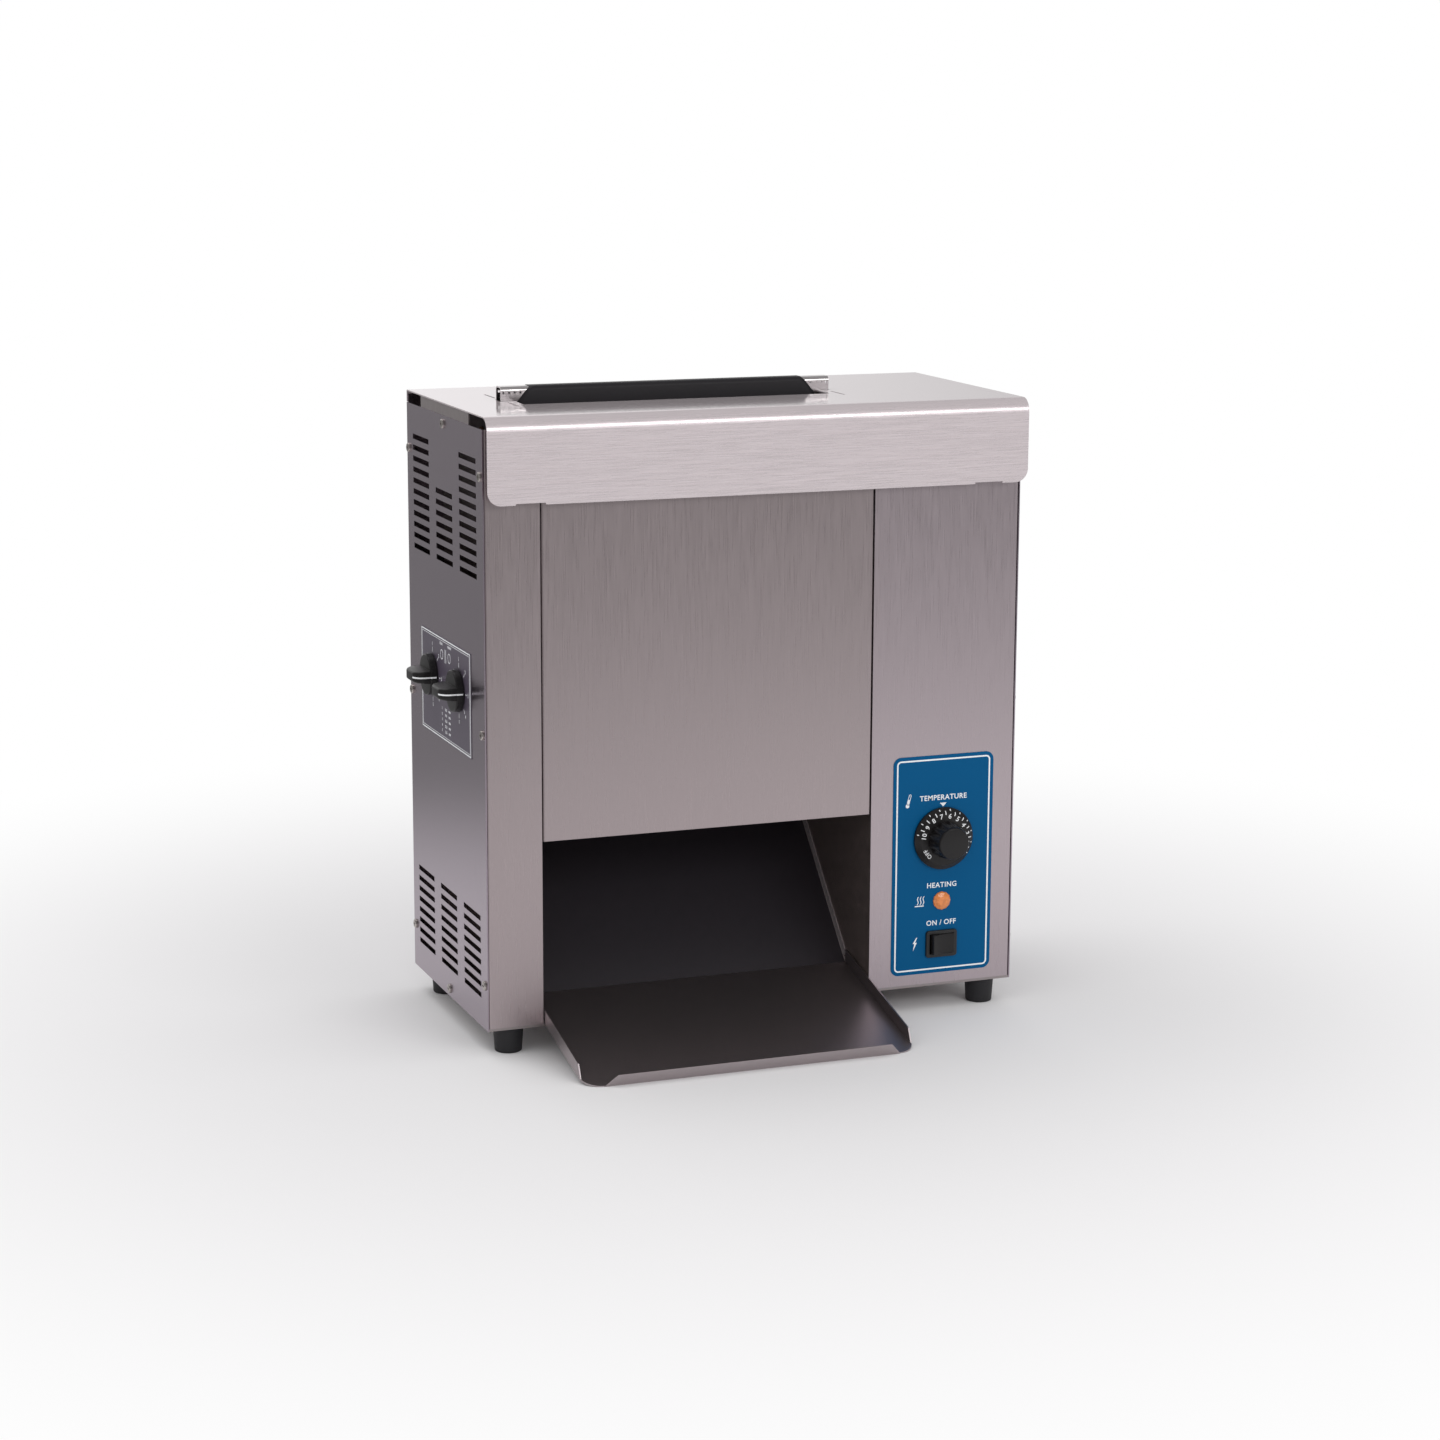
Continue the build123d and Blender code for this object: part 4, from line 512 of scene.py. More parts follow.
def thicken(shape, depth):
    """Draws every face of a flat shape out along +Z and closes it."""
    faces = list(shape.faces)
    made = bmesh.ops.extrude_face_region(shape, geom=faces, use_keep_orig=True)
    verts = [item for item in made["geom"] if isinstance(item, bmesh.types.BMVert)]
    bmesh.ops.translate(shape, verts=verts, vec=(0, 0, depth))
    return closed(shape)


def flat_shape(points, depth):
    """Flat outline with a thickness, facing +Z."""
    shape = bmesh.new()
    shape.faces.new([shape.verts.new((x, y, 0)) for x, y in points])
    return thicken(shape, depth)


def rounded_frame(width, height, corner, line, depth):
    """Line that runs round a rectangle with rounded corners; its outside has the given size."""
    shape = bmesh.new()
    bmesh.ops.create_grid(shape, x_segments=1, y_segments=1, size=0.5)
    bmesh.ops.scale(shape, vec=(width, height, 1), verts=list(shape.verts))
    if corner > 0:
        bmesh.ops.bevel(shape, geom=list(shape.verts), offset=corner, affect="VERTICES", segments=8,
                        profile=0.5, material=-1)
    inner = list(shape.faces)
    bmesh.ops.inset_region(shape, faces=inner, thickness=line, use_boundary=True, use_even_offset=True)
    bmesh.ops.delete(shape, geom=inner, context="FACES")
    return thicken(shape, depth)


def disc(radius, depth):
    """Flat round spot."""
    shape = bmesh.new()
    bmesh.ops.create_circle(shape, cap_ends=True, segments=24, radius=radius)
    return thicken(shape, depth)


def bar(width, height, depth):
    """Flat rectangular mark about the origin."""
    x = width / 2
    y = height / 2
    return flat_shape([(-x, -y), (x, -y), (x, y), (-x, y)], depth)


def lettering(words, height, depth):
    """Plain letters facing +Z, the capitals as high as given, their middle at the origin."""
    curve = bpy.data.curves.new("letters", "FONT")
    curve.body = words
    curve.resolution_u = 3
    # A little bolder and wider set than the plain font
    curve.offset = 0.014
    curve.space_character = 1.08
    holder = show("letters", curve)
    seen = holder.evaluated_get(bpy.context.evaluated_depsgraph_get())
    mesh = bpy.data.meshes.new_from_object(seen)
    bpy.data.objects.remove(holder)
    bpy.data.curves.remove(curve)
    flat = bmesh.new()
    flat.from_mesh(mesh)
    bpy.data.meshes.remove(mesh)
    # Here a capital is still about 0.7 m high
    bmesh.ops.remove_doubles(flat, verts=list(flat.verts), dist=1e-5)
    xs = [vert.co.x for vert in flat.verts]
    ys = [vert.co.y for vert in flat.verts]
    centre = Vector(((min(xs) + max(xs)) / 2, (min(ys) + max(ys)) / 2, 0))
    size = height / (max(ys) - min(ys))
    bmesh.ops.translate(flat, verts=list(flat.verts), vec=-centre)
    bmesh.ops.scale(flat, vec=(size, size, 1), verts=list(flat.verts))
    return thicken(flat, depth)


def spun(profile, segments=96):
    """Closed body of revolution about Z from (radius, height) points."""
    shape = bmesh.new()
    verts = [shape.verts.new((radius, 0, height)) for radius, height in profile]
    edges = [shape.edges.new(pair) for pair in zip(verts, verts[1:])]
    bmesh.ops.spin(shape, geom=verts + edges, cent=(0, 0, 0), axis=(0, 0, 1), dvec=(0, 0, 0),
                   angle=FULL_TURN, steps=segments, use_merge=True)
    bmesh.ops.remove_doubles(shape, verts=list(shape.verts), dist=TOUCHING)
    return closed(shape)


def rounding(radius, centre_radius, centre_height, start, end, steps=6):
    """Points of an arc in a profile, from one angle to another, in degrees."""
    points = []
    for index in range(steps + 1):
        angle = math.radians(start + (end - start) * index / steps)
        points.append((centre_radius + radius * math.cos(angle), centre_height + radius * math.sin(angle)))
    return points


def clockwise(radius, angle):
    """Point at an angle clockwise from the top."""
    return Vector((radius * math.sin(angle), radius * math.cos(angle), 0))


def look_at(start, target):
    """Turn of a light that looks from one place to another."""
    return (Vector(target) - Vector(start)).to_track_quat("-Z", "Y").to_euler()


class TOASTER_OT_stage(bpy.types.Operator):
    """Sets the pale floor, the background, the soft lights and the camera"""
    bl_idname = "toaster.stage"
    bl_label = "Stage"

    def execute(self, context):
        stage = context.scene.toaster_stage
        context.scene.view_settings.view_transform = "Standard"
        self.camera(context, stage)
        self.world(context, stage)
        self.floor(context, stage)
        target = (cad_low + cad_high) / 2
        lights = (("key_light", stage.key_place, stage.key_width, stage.key_height, stage.key_power),
                  ("back_light", stage.back_place, stage.back_width, stage.back_height, stage.back_power))
        for name, start, width, height, power in lights:
            light = bpy.data.lights.new(name, "AREA")
            light.shape = "RECTANGLE"
            light.size = width
            light.size_y = height
            light.energy = power
            lamp = show(name, light)
            lamp.location = start
            lamp.rotation_euler = look_at(start, target)
        return {"FINISHED"}

    def camera(self, context, stage):
        """Camera at the height and the side that the toaster is looked at from."""
        data = bpy.data.cameras.new("camera")
        data.lens = stage.camera_lens
        camera = show("camera", data)
        yaw = Matrix.Rotation(-stage.camera_yaw, 4, "Z")
        pitch = Matrix.Rotation(math.radians(90) - stage.camera_pitch, 4, "X")
        roll = Matrix.Rotation(stage.camera_roll, 4, "Z")
        camera.matrix_world = Matrix.Translation(stage.camera_place) @ yaw @ pitch @ roll
        context.scene.camera = camera

    def shown(self, tree, lit, mirrored):
        """Brightness by kind of ray: lit for the light itself, mirrored for metal and glass, one for
        the picture."""
        path = add_node(tree, "ShaderNodeLightPath")
        bright = {0: path.outputs["Is Glossy Ray"], 1: path.outputs["Is Transmission Ray"]}
        seen = add_node(tree, "ShaderNodeMath", bright, operation="MAXIMUM")
        first = {0: seen.outputs[0], 2: lit, 3: mirrored}
        level = add_node(tree, "ShaderNodeMix", first, data_type="FLOAT")
        second = {0: path.outputs["Is Camera Ray"], 2: level.outputs[0], 3: 1.0}
        return add_node(tree, "ShaderNodeMix", second, data_type="FLOAT").outputs[0]

    def world(self, context, stage):
        """White surroundings, which metal mirrors dimmer away from the backdrop behind the toaster."""
        world = bpy.data.worlds.new("surroundings")
        world.use_nodes = True
        tree = world.node_tree
        tree.nodes.clear()
        where = add_node(tree, "ShaderNodeTexCoord")
        ways = {0: where.outputs["Generated"], 1: stage.backdrop_way}
        near = add_node(tree, "ShaderNodeVectorMath", ways, operation="DOT_PRODUCT").outputs["Value"]
        span = from_to(near, stage.backdrop_edge, 1, stage.dim_level, 1)
        sky = add_node(tree, "ShaderNodeMapRange", span, interpolation_type="SMOOTHSTEP")
        strength = self.shown(tree, stage.world_fill, sky.outputs[0])
        ground = add_node(tree, "ShaderNodeBackground", {"Color": WHITE, "Strength": strength})
        add_node(tree, "ShaderNodeOutputWorld", {"Surface": ground.outputs[0]})
        context.scene.world = world

    def floor(self, context, stage):
        """Wide matt floor that holds the shadow near the toaster and is plain further out."""
        shape = bmesh.new()
        bmesh.ops.create_circle(shape, cap_ends=True, segments=128, radius=stage.floor_radius)
        mesh = bpy.data.meshes.new("floor")
        shape.to_mesh(mesh)
        shape.free()
        material, tree = blank_material("floor_matt_paint")
        where = add_node(tree, "ShaderNodeTexCoord")
        reach = add_node(tree, "ShaderNodeVectorMath", {0: where.outputs["Object"]}, operation="LENGTH")
        span = from_to(reach.outputs["Value"], stage.shadow_near, stage.shadow_far)
        fade = add_node(tree, "ShaderNodeMapRange", span, interpolation_type="SMOOTHSTEP")
        plainness = {0: fade.outputs[0], 1: self.shown(tree, 0.0, 1.0)}
        share = add_node(tree, "ShaderNodeMath", plainness, operation="MULTIPLY")
        lit = add_node(tree, "ShaderNodeBsdfDiffuse", {"Color": opaque(stage.floor_colour)})
        ends = {0: where.outputs["Object"], 1: stage.bright_place}
        away = add_node(tree, "ShaderNodeVectorMath", ends, operation="DISTANCE").outputs["Value"]
        span = from_to(away, stage.bright_near, stage.bright_far, 1, stage.dim_level)
        mirrored = add_node(tree, "ShaderNodeMapRange", span, interpolation_type="SMOOTHSTEP")
        level = self.shown(tree, 1.0, mirrored.outputs[0])
        plain = add_node(tree, "ShaderNodeEmission", {"Color": WHITE, "Strength": level})
        both = {0: share.outputs[0], 1: lit.outputs[0], 2: plain.outputs[0]}
        mixed = add_node(tree, "ShaderNodeMixShader", both)
        add_node(tree, "ShaderNodeOutputMaterial", {"Surface": mixed.outputs[0]})
        mesh.materials.append(material)
        show("floor", mesh)


class TOASTER_OT_case(bpy.types.Operator):
    """Gives the sheets of the case their brushed and satin finishes"""
    bl_idname = "toaster.case"
    bl_label = "Case"

    def execute(self, context):
        steel = context.scene.toaster_steel
        # Brushed stainless, lines upright: a soft grey sheet with fine vertical streaks
        front = brushed("stainless_brushed_upright", steel.front_colour, 2, (0.26, 0.36), steel)
        dress(front, "front_left_column", "front_cover")
        # The same finish, its paler colour painted light on the control column
        column = brushed("stainless_brushed_painted_paler", steel.column_colour, 2, (0.26, 0.36), steel)
        dress(column, "control_column")
        # Brushed stainless, lines across: its scratches scatter light in all directions, and its paler colour
        # is painted light from above, so it stays pale whatever it faces; it is close to a mirror where it is
        # wiped on top
        apron = brushed("stainless_brushed_across_painted_lit", steel.apron_colour, 0, (0.24, 0.34), steel,
                        metal=steel.apron_metal)
        polished_top(apron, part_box("top_cover")[1].z, steel.polish_depth, steel.polish_rough)
        dress(apron, "top_cover")
        # Fine satin stainless, smooth enough to mirror the knobs softly; its darker colour is painted shade
        side = brushed("stainless_satin_painted_shade", steel.side_colour, 2, (0.20, 0.27), steel)
        dress(side, "left_side_panel", "right_side_panel", "rear_cover")
        # Mill-finish stainless inside the case: plain grey with a faint rolled grain
        inner = brushed("stainless_mill", steel.inner_colour, 0, (0.34, 0.44), steel)
        dress(inner, "base_pan", "cover_hanger_rod", "platen_brackets", "tie_rods", "front_pressure_plate",
              "rear_pressure_plate")
        # Stainless for the walls of the lane: dark, warm and dull, its darkness painted shade of the deep
        # lane
        lane_wall_shade = grained("stainless_lane_painted_shade", steel.browned_colour, grain=9 * MM, relief=0.05 * MM,
                          variation=0.16, rough=(0.38, 0.52), Metallic=0.85)
        self.clean_top(lane_wall_shade, steel)
        dress(lane_wall_shade, "left_bulkhead", "right_bulkhead")
        # Nickel-plated pan heads: small, bright and slightly worn
        screw = grained("steel_nickel_plated", linear("#B9B2AE"), grain=0.8 * MM, relief=0.01 * MM,
                        rough=(0.18, 0.32), Metallic=1.0)
        dress(screw, "left_panel_screws", "right_panel_screws", "rear_cover_screws", "foot_screws")
        finish_piece("rear_cover_hem", self.hem(steel), side, "case")
        return {"FINISHED"}

    def clean_top(self, lane_wall_shade, steel):
        """Above a height the walls' painted shade fades into the plain sheet colour."""
        def colour(tree, before):
            start = steel.browned_top
            span = from_to(object_axis(tree, "Z"), start, start + steel.browned_fade)
            fade = add_node(tree, "ShaderNodeMapRange", span, interpolation_type="SMOOTHSTEP")
            both = {0: fade.outputs[0], 6: before, 7: opaque(steel.inner_colour)}
            return add_node(tree, "ShaderNodeMix", both, data_type="RGBA").outputs[2]
        swap_input(lane_wall_shade, "Base Color", colour)

    def hem(self, steel):
        """Top hem of the rear cover, which closes the seam under the top cover's lip from inside."""
        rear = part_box("rear_cover")[1]
        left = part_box("top_cover")[0].x
        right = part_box("top_cover")[1].x
        half = (right - left) / 2 - steel.hem_thickness
        inner = half - steel.hem_inset
        rise = steel.hem_height
        points = [(-half, 0), (-inner, 0), (-inner, -rise), (inner, -rise), (inner, 0), (half, 0)]
        shape = flat_shape(points + [(half, rise), (-half, rise)], steel.hem_thickness)
        spot = Matrix.Translation(((left + right) / 2, rear.y - steel.sheet, rear.z))
        return moved(shape, spot @ FRONT_FACE)


class TOASTER_OT_lane(bpy.types.Operator):
    """Gives the chute, the divider, the platen and the belts their finishes"""
    bl_idname = "toaster.lane"
    bl_label = "Lane"

    def execute(self, context):
        steel = context.scene.toaster_steel
        # Release coating on sheet: near black, satin, faintly rippled
        coating = grained("release_coating_black", steel.coating_colour, grain=6 * MM, relief=0.002 * MM,
                          variation=0.06, rough=(0.36, 0.40))
        self.bare_edges(coating, steel)
        dress(coating, "bun_chute")
        # Bright annealed stainless: the cleanest sheet, a soft mirror
        cap = brushed("stainless_bright_annealed", steel.cap_colour, 0, (0.16, 0.20), steel, 0.3)
        dress(cap, "platen_cap")
        # Sand-cast aluminium: pale grey with a pebbled skin
        cast = grained("aluminium_sand_cast", linear("#A8A6A2"), grain=1.6 * MM, relief=0.12 * MM,
                       variation=0.10, rough=(0.48, 0.62), Metallic=1.0)
        dress(cast, "platen")
        # Swaged heater sheath: dark oxidised nickel alloy
        sheath = grained("nickel_alloy_oxidised", linear("#5A5048"), grain=1.2 * MM, relief=0.02 * MM,
                         variation=0.15, rough=(0.42, 0.56), Metallic=0.9)
        dress(sheath, "heating_elements")
        # Drawn stainless wire: bright lines darkened where toast leaves its film
        wire = grained("stainless_drawn_wire", linear("#8E8583"), grain=3 * MM, relief=0.02 * MM,
                       variation=0.18, rough=(0.28, 0.42), Metallic=1.0)
        dress(wire, "front_belt", "rear_belt")
        # Ground bar: fine turning marks round the shaft
        ground = grained("steel_ground_bar", linear("#B4B2B0"), grain=0.5 * MM, relief=0.008 * MM,
                         stretch=(1, 8, 8), rough=(0.18, 0.30), Metallic=1.0)
        dress(ground, "front_drive_shaft", "rear_drive_shaft", "front_idler_shaft", "rear_idler_shaft",
              "front_camshaft", "rear_camshaft", "motor_shaft", "thermostat_stem")
        # Hobbed gear steel: darker, lightly oiled
        gear = grained("steel_hobbed_oiled", linear("#77726D"), grain=1.0 * MM, relief=0.02 * MM,
                       rough=(0.26, 0.40), Metallic=1.0)
        dress(gear, "front_drive_gear", "rear_drive_gear", "front_drive_sprockets", "rear_drive_sprockets",
              "front_idler_rollers", "rear_idler_rollers", "motor_sprocket", "driven_sprocket")
        # Oiled roller chain: dark steel with worn plates
        chain = grained("steel_chain_oiled", linear("#5E5A57"), grain=2 * MM, relief=0.03 * MM, variation=0.2,
                        rough=(0.24, 0.42), Metallic=1.0)
        dress(chain, "drive_chain")
        # Sintered bronze: warm and matt
        bronze = grained("bronze_sintered", linear("#A17A4E"), grain=0.6 * MM, relief=0.02 * MM,
                         rough=(0.40, 0.52), Metallic=1.0)
        dress(bronze, "shaft_bushings")
        return {"FINISHED"}

    def bare_edges(self, coating, steel):
        """The chute's two side flanges are left uncoated."""
        low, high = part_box("bun_chute")
        across = (low.x + high.x) / 2
        start = (high.x - low.x) / 2 - steel.bare_width

        def edge(tree, most=1.0):
            ends = {0: object_axis(tree, "X"), 1: across}
            offset = add_node(tree, "ShaderNodeMath", ends, operation="SUBTRACT")
            size = add_node(tree, "ShaderNodeMath", {0: offset.outputs[0]}, operation="ABSOLUTE")
            span = from_to(size.outputs[0], start, start + steel.bare_fade, 0, most)
            return add_node(tree, "ShaderNodeMapRange", span, interpolation_type="SMOOTHSTEP").outputs[0]

        def colour(tree, before):
            both = {0: edge(tree), 6: before, 7: opaque(steel.tray_colour)}
            return add_node(tree, "ShaderNodeMix", both, data_type="RGBA").outputs[2]

        swap_input(coating, "Base Color", colour)
        tree = coating.node_tree
        tree.links.new(edge(tree, steel.bare_metal), shader_of(coating).inputs["Metallic"])


class TOASTER_OT_electrics(bpy.types.Operator):
    """Gives the motor, the switch, the lamp body and the inlet their finishes"""
    bl_idname = "toaster.electrics"
    bl_label = "Electrics"

    def execute(self, context):
        # Moulded black nylon: satin with a fine spark-eroded grain
        nylon = grained("nylon_moulded_black", linear("#19191B"), grain=0.5 * MM, relief=0.02 * MM,
                        variation=0.1, rough=(0.34, 0.46))
        dress(nylon, "switch_body", "indicator_lamp_body", "thermostat_body", "terminal_block", "cord_gland")
        # Stoved enamel over cast iron: smooth dark grey with slight orange peel
        enamel = grained("enamel_stoved_grey", linear("#4A4D50"), grain=2.5 * MM, relief=0.03 * MM,
                         rough=(0.32, 0.42))
        dress(enamel, "gearmotor")
        # Zinc plate: pale with a faint spangle
        zinc = grained("steel_zinc_plated", linear("#B3B4AE"), grain=7 * MM, relief=0.01 * MM, variation=0.12,
                       rough=(0.28, 0.44), Metallic=1.0)
        dress(zinc, "motor_bracket")
        return {"FINISHED"}


def white_ink(context):
    """Screen-printed white ink: flat, matt and slightly uneven."""
    ink = bpy.data.materials.get("ink_screen_white")
    if ink is None:
        marks = context.scene.toaster_print
        ink = grained("ink_screen_white", marks.ink_colour, grain=0.8 * MM, relief=0.002 * MM, variation=0.02,
                      rough=(0.42, 0.5))
    return ink


def thermometer(depth):
    """Thermometer mark: a hollow stem over a filled bulb."""
    stem_width = 2.6 * MM
    stem_height = 11 * MM
    stem_corner = 1.29 * MM
    stem_rise = 1.2 * MM
    line = 0.55 * MM
    filling_width = 1.3 * MM
    filling_height = 5.5 * MM
    filling_drop = 1.4 * MM
    bulb_radius = 1.9 * MM
    bulb_drop = 5.2 * MM
    shape = bmesh.new()
    stem = rounded_frame(stem_width, stem_height, stem_corner, line, depth)
    put(shape, stem, Matrix.Translation((0, stem_rise, 0)))
    put(shape, bar(filling_width, filling_height, depth), Matrix.Translation((0, -filling_drop, 0)))
    put(shape, disc(bulb_radius, depth), Matrix.Translation((0, -bulb_drop, 0)))
    return shape


def heat_waves(depth):
    """Heat mark: three rising waves over a plate."""
    rise = 8.4 * MM
    half_line = 0.42 * MM
    sway = 0.8 * MM
    slant = 1.6 * MM
    spacing = 3.0 * MM
    plate_width = 9.6 * MM
    plate_height = 1.0 * MM
    plate_left = 0.6 * MM
    plate_drop = 1.2 * MM
    steps = 16
    shape = bmesh.new()
    for offset in (-spacing, 0, spacing):
        left = []
        right = []
        for index in range(steps + 1):
            at = index / steps
            x = offset + sway * math.sin(at * FULL_TURN) + slant * at
            y = -rise / 2 + rise * at
            left.append((x - half_line, y))
            right.append((x + half_line, y))
        put(shape, flat_shape(right + left[::-1], depth), Matrix.Identity(4))
    plate = bar(plate_width, plate_height, depth)
    put(shape, plate, Matrix.Translation((-plate_left, -rise / 2 - plate_drop, 0)))
    return shape


def bolt(depth):
    """Power mark: a plain zigzag, its corners in millimetres."""
    points = [(1.6, 6.6), (-2.2, 0.6), (-0.4, 0.6), (-1.9, -6.6), (2.3, 1.6), (0.3, 1.6), (2.6, 6.6)]
    return flat_shape([(x * MM, y * MM) for x, y in points][::-1], depth)


class TOASTER_OT_control_label(bpy.types.Operator):
    """Prints the control label: its border, words, marks and pointer"""
    bl_idname = "toaster.control_label"
    bl_label = "Control label"

    def execute(self, context):
        marks = context.scene.toaster_print
        # Polyester film printed blue behind: even, smooth and slightly glossy
        film = grained("film_polyester_blue", marks.blue_colour, grain=0.7 * MM, relief=0.004 * MM,
                       variation=0.03, rough=(0.38, 0.46), Specular_IOR_Level=0.09)
        dress(film, "control_label")
        low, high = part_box("control_label")
        depth = marks.ink_thickness
        origin = Vector(((low.x + high.x) / 2, low.y, 0))
        shape = bmesh.new()
        inset = marks.border_inset - marks.border_width / 2
        border = rounded_frame(high.x - low.x - 2 * inset, high.z - low.z - 2 * inset,
                               marks.label_corner - inset, marks.border_width, depth)
        self.mark(shape, border, origin, 0, (low.z + high.z) / 2)
        dial = middle("thermostat_dial").z
        lamp = middle("indicator_lens").z
        switch = middle("switch_body").z
        words = (("TEMPERATURE", dial + marks.dial_word_rise), ("HEATING", lamp + marks.lamp_word_rise),
                 ("ON / OFF", switch + marks.switch_word_rise))
        for text, height in words:
            self.mark(shape, lettering(text, marks.word_height, depth), origin, 0, height)
        half = marks.pointer_width / 2
        tip = [(0, 0), (half, marks.pointer_height), (-half, marks.pointer_height)]
        self.mark(shape, flat_shape(tip, depth), origin, 0, dial + marks.pointer_rise)
        self.mark(shape, thermometer(depth), origin, -marks.thermometer_left, dial + marks.thermometer_rise,
                  marks.thermometer_lean)
        self.mark(shape, heat_waves(depth), origin, -marks.waves_left, lamp + marks.waves_rise)
        self.mark(shape, bolt(depth), origin, -marks.bolt_left, switch + marks.bolt_rise)
        finish_piece("control_label_print", shape, white_ink(context), "case")
        return {"FINISHED"}

    def mark(self, target, shape, origin, across, height, lean=0.0):
        """Puts a mark on the label, a distance right of its middle and at a height."""
        spot = Matrix.Translation(origin + Vector((across, 0, height)))
        put(target, shape, spot @ FRONT_FACE @ Matrix.Rotation(lean, 4, "Z"))


class TOASTER_OT_adjustment_label(bpy.types.Operator):
    """Prints the label of the pressure knobs: its borders, scales, outlines and table"""
    bl_idname = "toaster.adjustment_label"
    bl_label = "Adjustment label"

    def execute(self, context):
        marks = context.scene.toaster_print
        label = context.scene.toaster_side_label
        depth = marks.ink_thickness
        # Polyester film printed grey behind: the same hue as the panel, a little bluer
        film = grained("film_polyester_grey", marks.grey_colour, grain=0.7 * MM, relief=0.004 * MM,
                       variation=0.03, rough=(0.30, 0.38))
        dress(film, "adjustment_label")
        shape = bmesh.new()
        self.borders(shape, label, depth)
        for lane in LANES:
            self.scale(shape, label, f"{lane}_pressure_knob", depth)
        self.lanes(shape, label, depth)
        self.table(shape, label, depth)
        finish_piece("adjustment_label_print", shape, white_ink(context), "case")
        return {"FINISHED"}

    def borders(self, target, label, depth):
        """Two lines round the label."""
        low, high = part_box("adjustment_label")
        centre = middle("adjustment_label")
        lines = ((label.outer_inset, label.outer_line), (label.inner_inset, label.inner_line))
        for inset, line in lines:
            border = rounded_frame(high.y - low.y - 2 * inset, high.z - low.z - 2 * inset, 0, line, depth)
            self.mark(target, border, centre.y, centre.z)

    def scale(self, target, label, node, depth):
        """Marks and plain numbers round one knob, from its top over its front to its foot."""
        low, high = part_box(node)
        knob = middle(node)
        start = (high.z - low.z) / 2 + label.tick_gap
        for index in range(-1, SETTINGS_COUNT + 1):
            angle = label.tick_step * index
            numbered = 0 <= index < SETTINGS_COUNT
            reach = label.tick_length if numbered else label.small_tick_length
            spot = clockwise(start + reach / 2, angle)
            self.mark(target, bar(label.tick_width, reach, depth), knob.y - spot.x, knob.z + spot.y, -angle)
            if numbered:
                spot = clockwise(label.number_radius, angle)
                digit = lettering(str(index + 1), label.number_height, depth)
                self.mark(target, digit, knob.y - spot.x, knob.z + spot.y)

    def lanes(self, target, label, depth):
        """Which knob serves which lane: a word, an outlined bun and one side of the platen for each."""
        across = middle("adjustment_label").y
        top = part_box("adjustment_label")[1].z
        for words, side in (("REAR", 1), ("FRONT", -1)):
            word = lettering(words, label.word_height, depth)
            self.mark(target, word, across + side * label.word_side, top - label.word_drop)
            bun = rounded_frame(label.bun_width, label.bun_height, label.bun_corner, label.bun_line, depth)
            self.mark(target, bun, across + side * label.bun_side, top - label.bun_drop)
            platen = bar(label.tick_width, label.platen_height, depth)
            self.mark(target, platen, across + side * label.platen_side, top - label.bun_drop)

    def table(self, target, label, depth):
        """Gap between platen and pressure plate at each setting."""
        across = middle("adjustment_label").y
        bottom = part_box("adjustment_label")[0].z
        for row in range(SETTINGS_COUNT):
            height = bottom + label.table_rise - row * label.table_step
            gap = label.first_gap + label.gap_step * row
            cells = ((str(row + 1), label.word_height, label.setting_side),
                     (f"{gap:.1f}", label.word_height, 0),
                     ("mm", label.unit_height, -label.unit_side))
            for text, size, side in cells:
                self.mark(target, lettering(text, size, depth), across + side, height)

    def mark(self, target, shape, along, height, lean=0.0):
        """Puts a mark on the side label at a place along Y and a height."""
        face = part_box("adjustment_label")[0].x
        spot = Matrix.Translation((face, along, height))
        put(target, shape, spot @ LEFT_FACE @ Matrix.Rotation(lean, 4, "Z"))


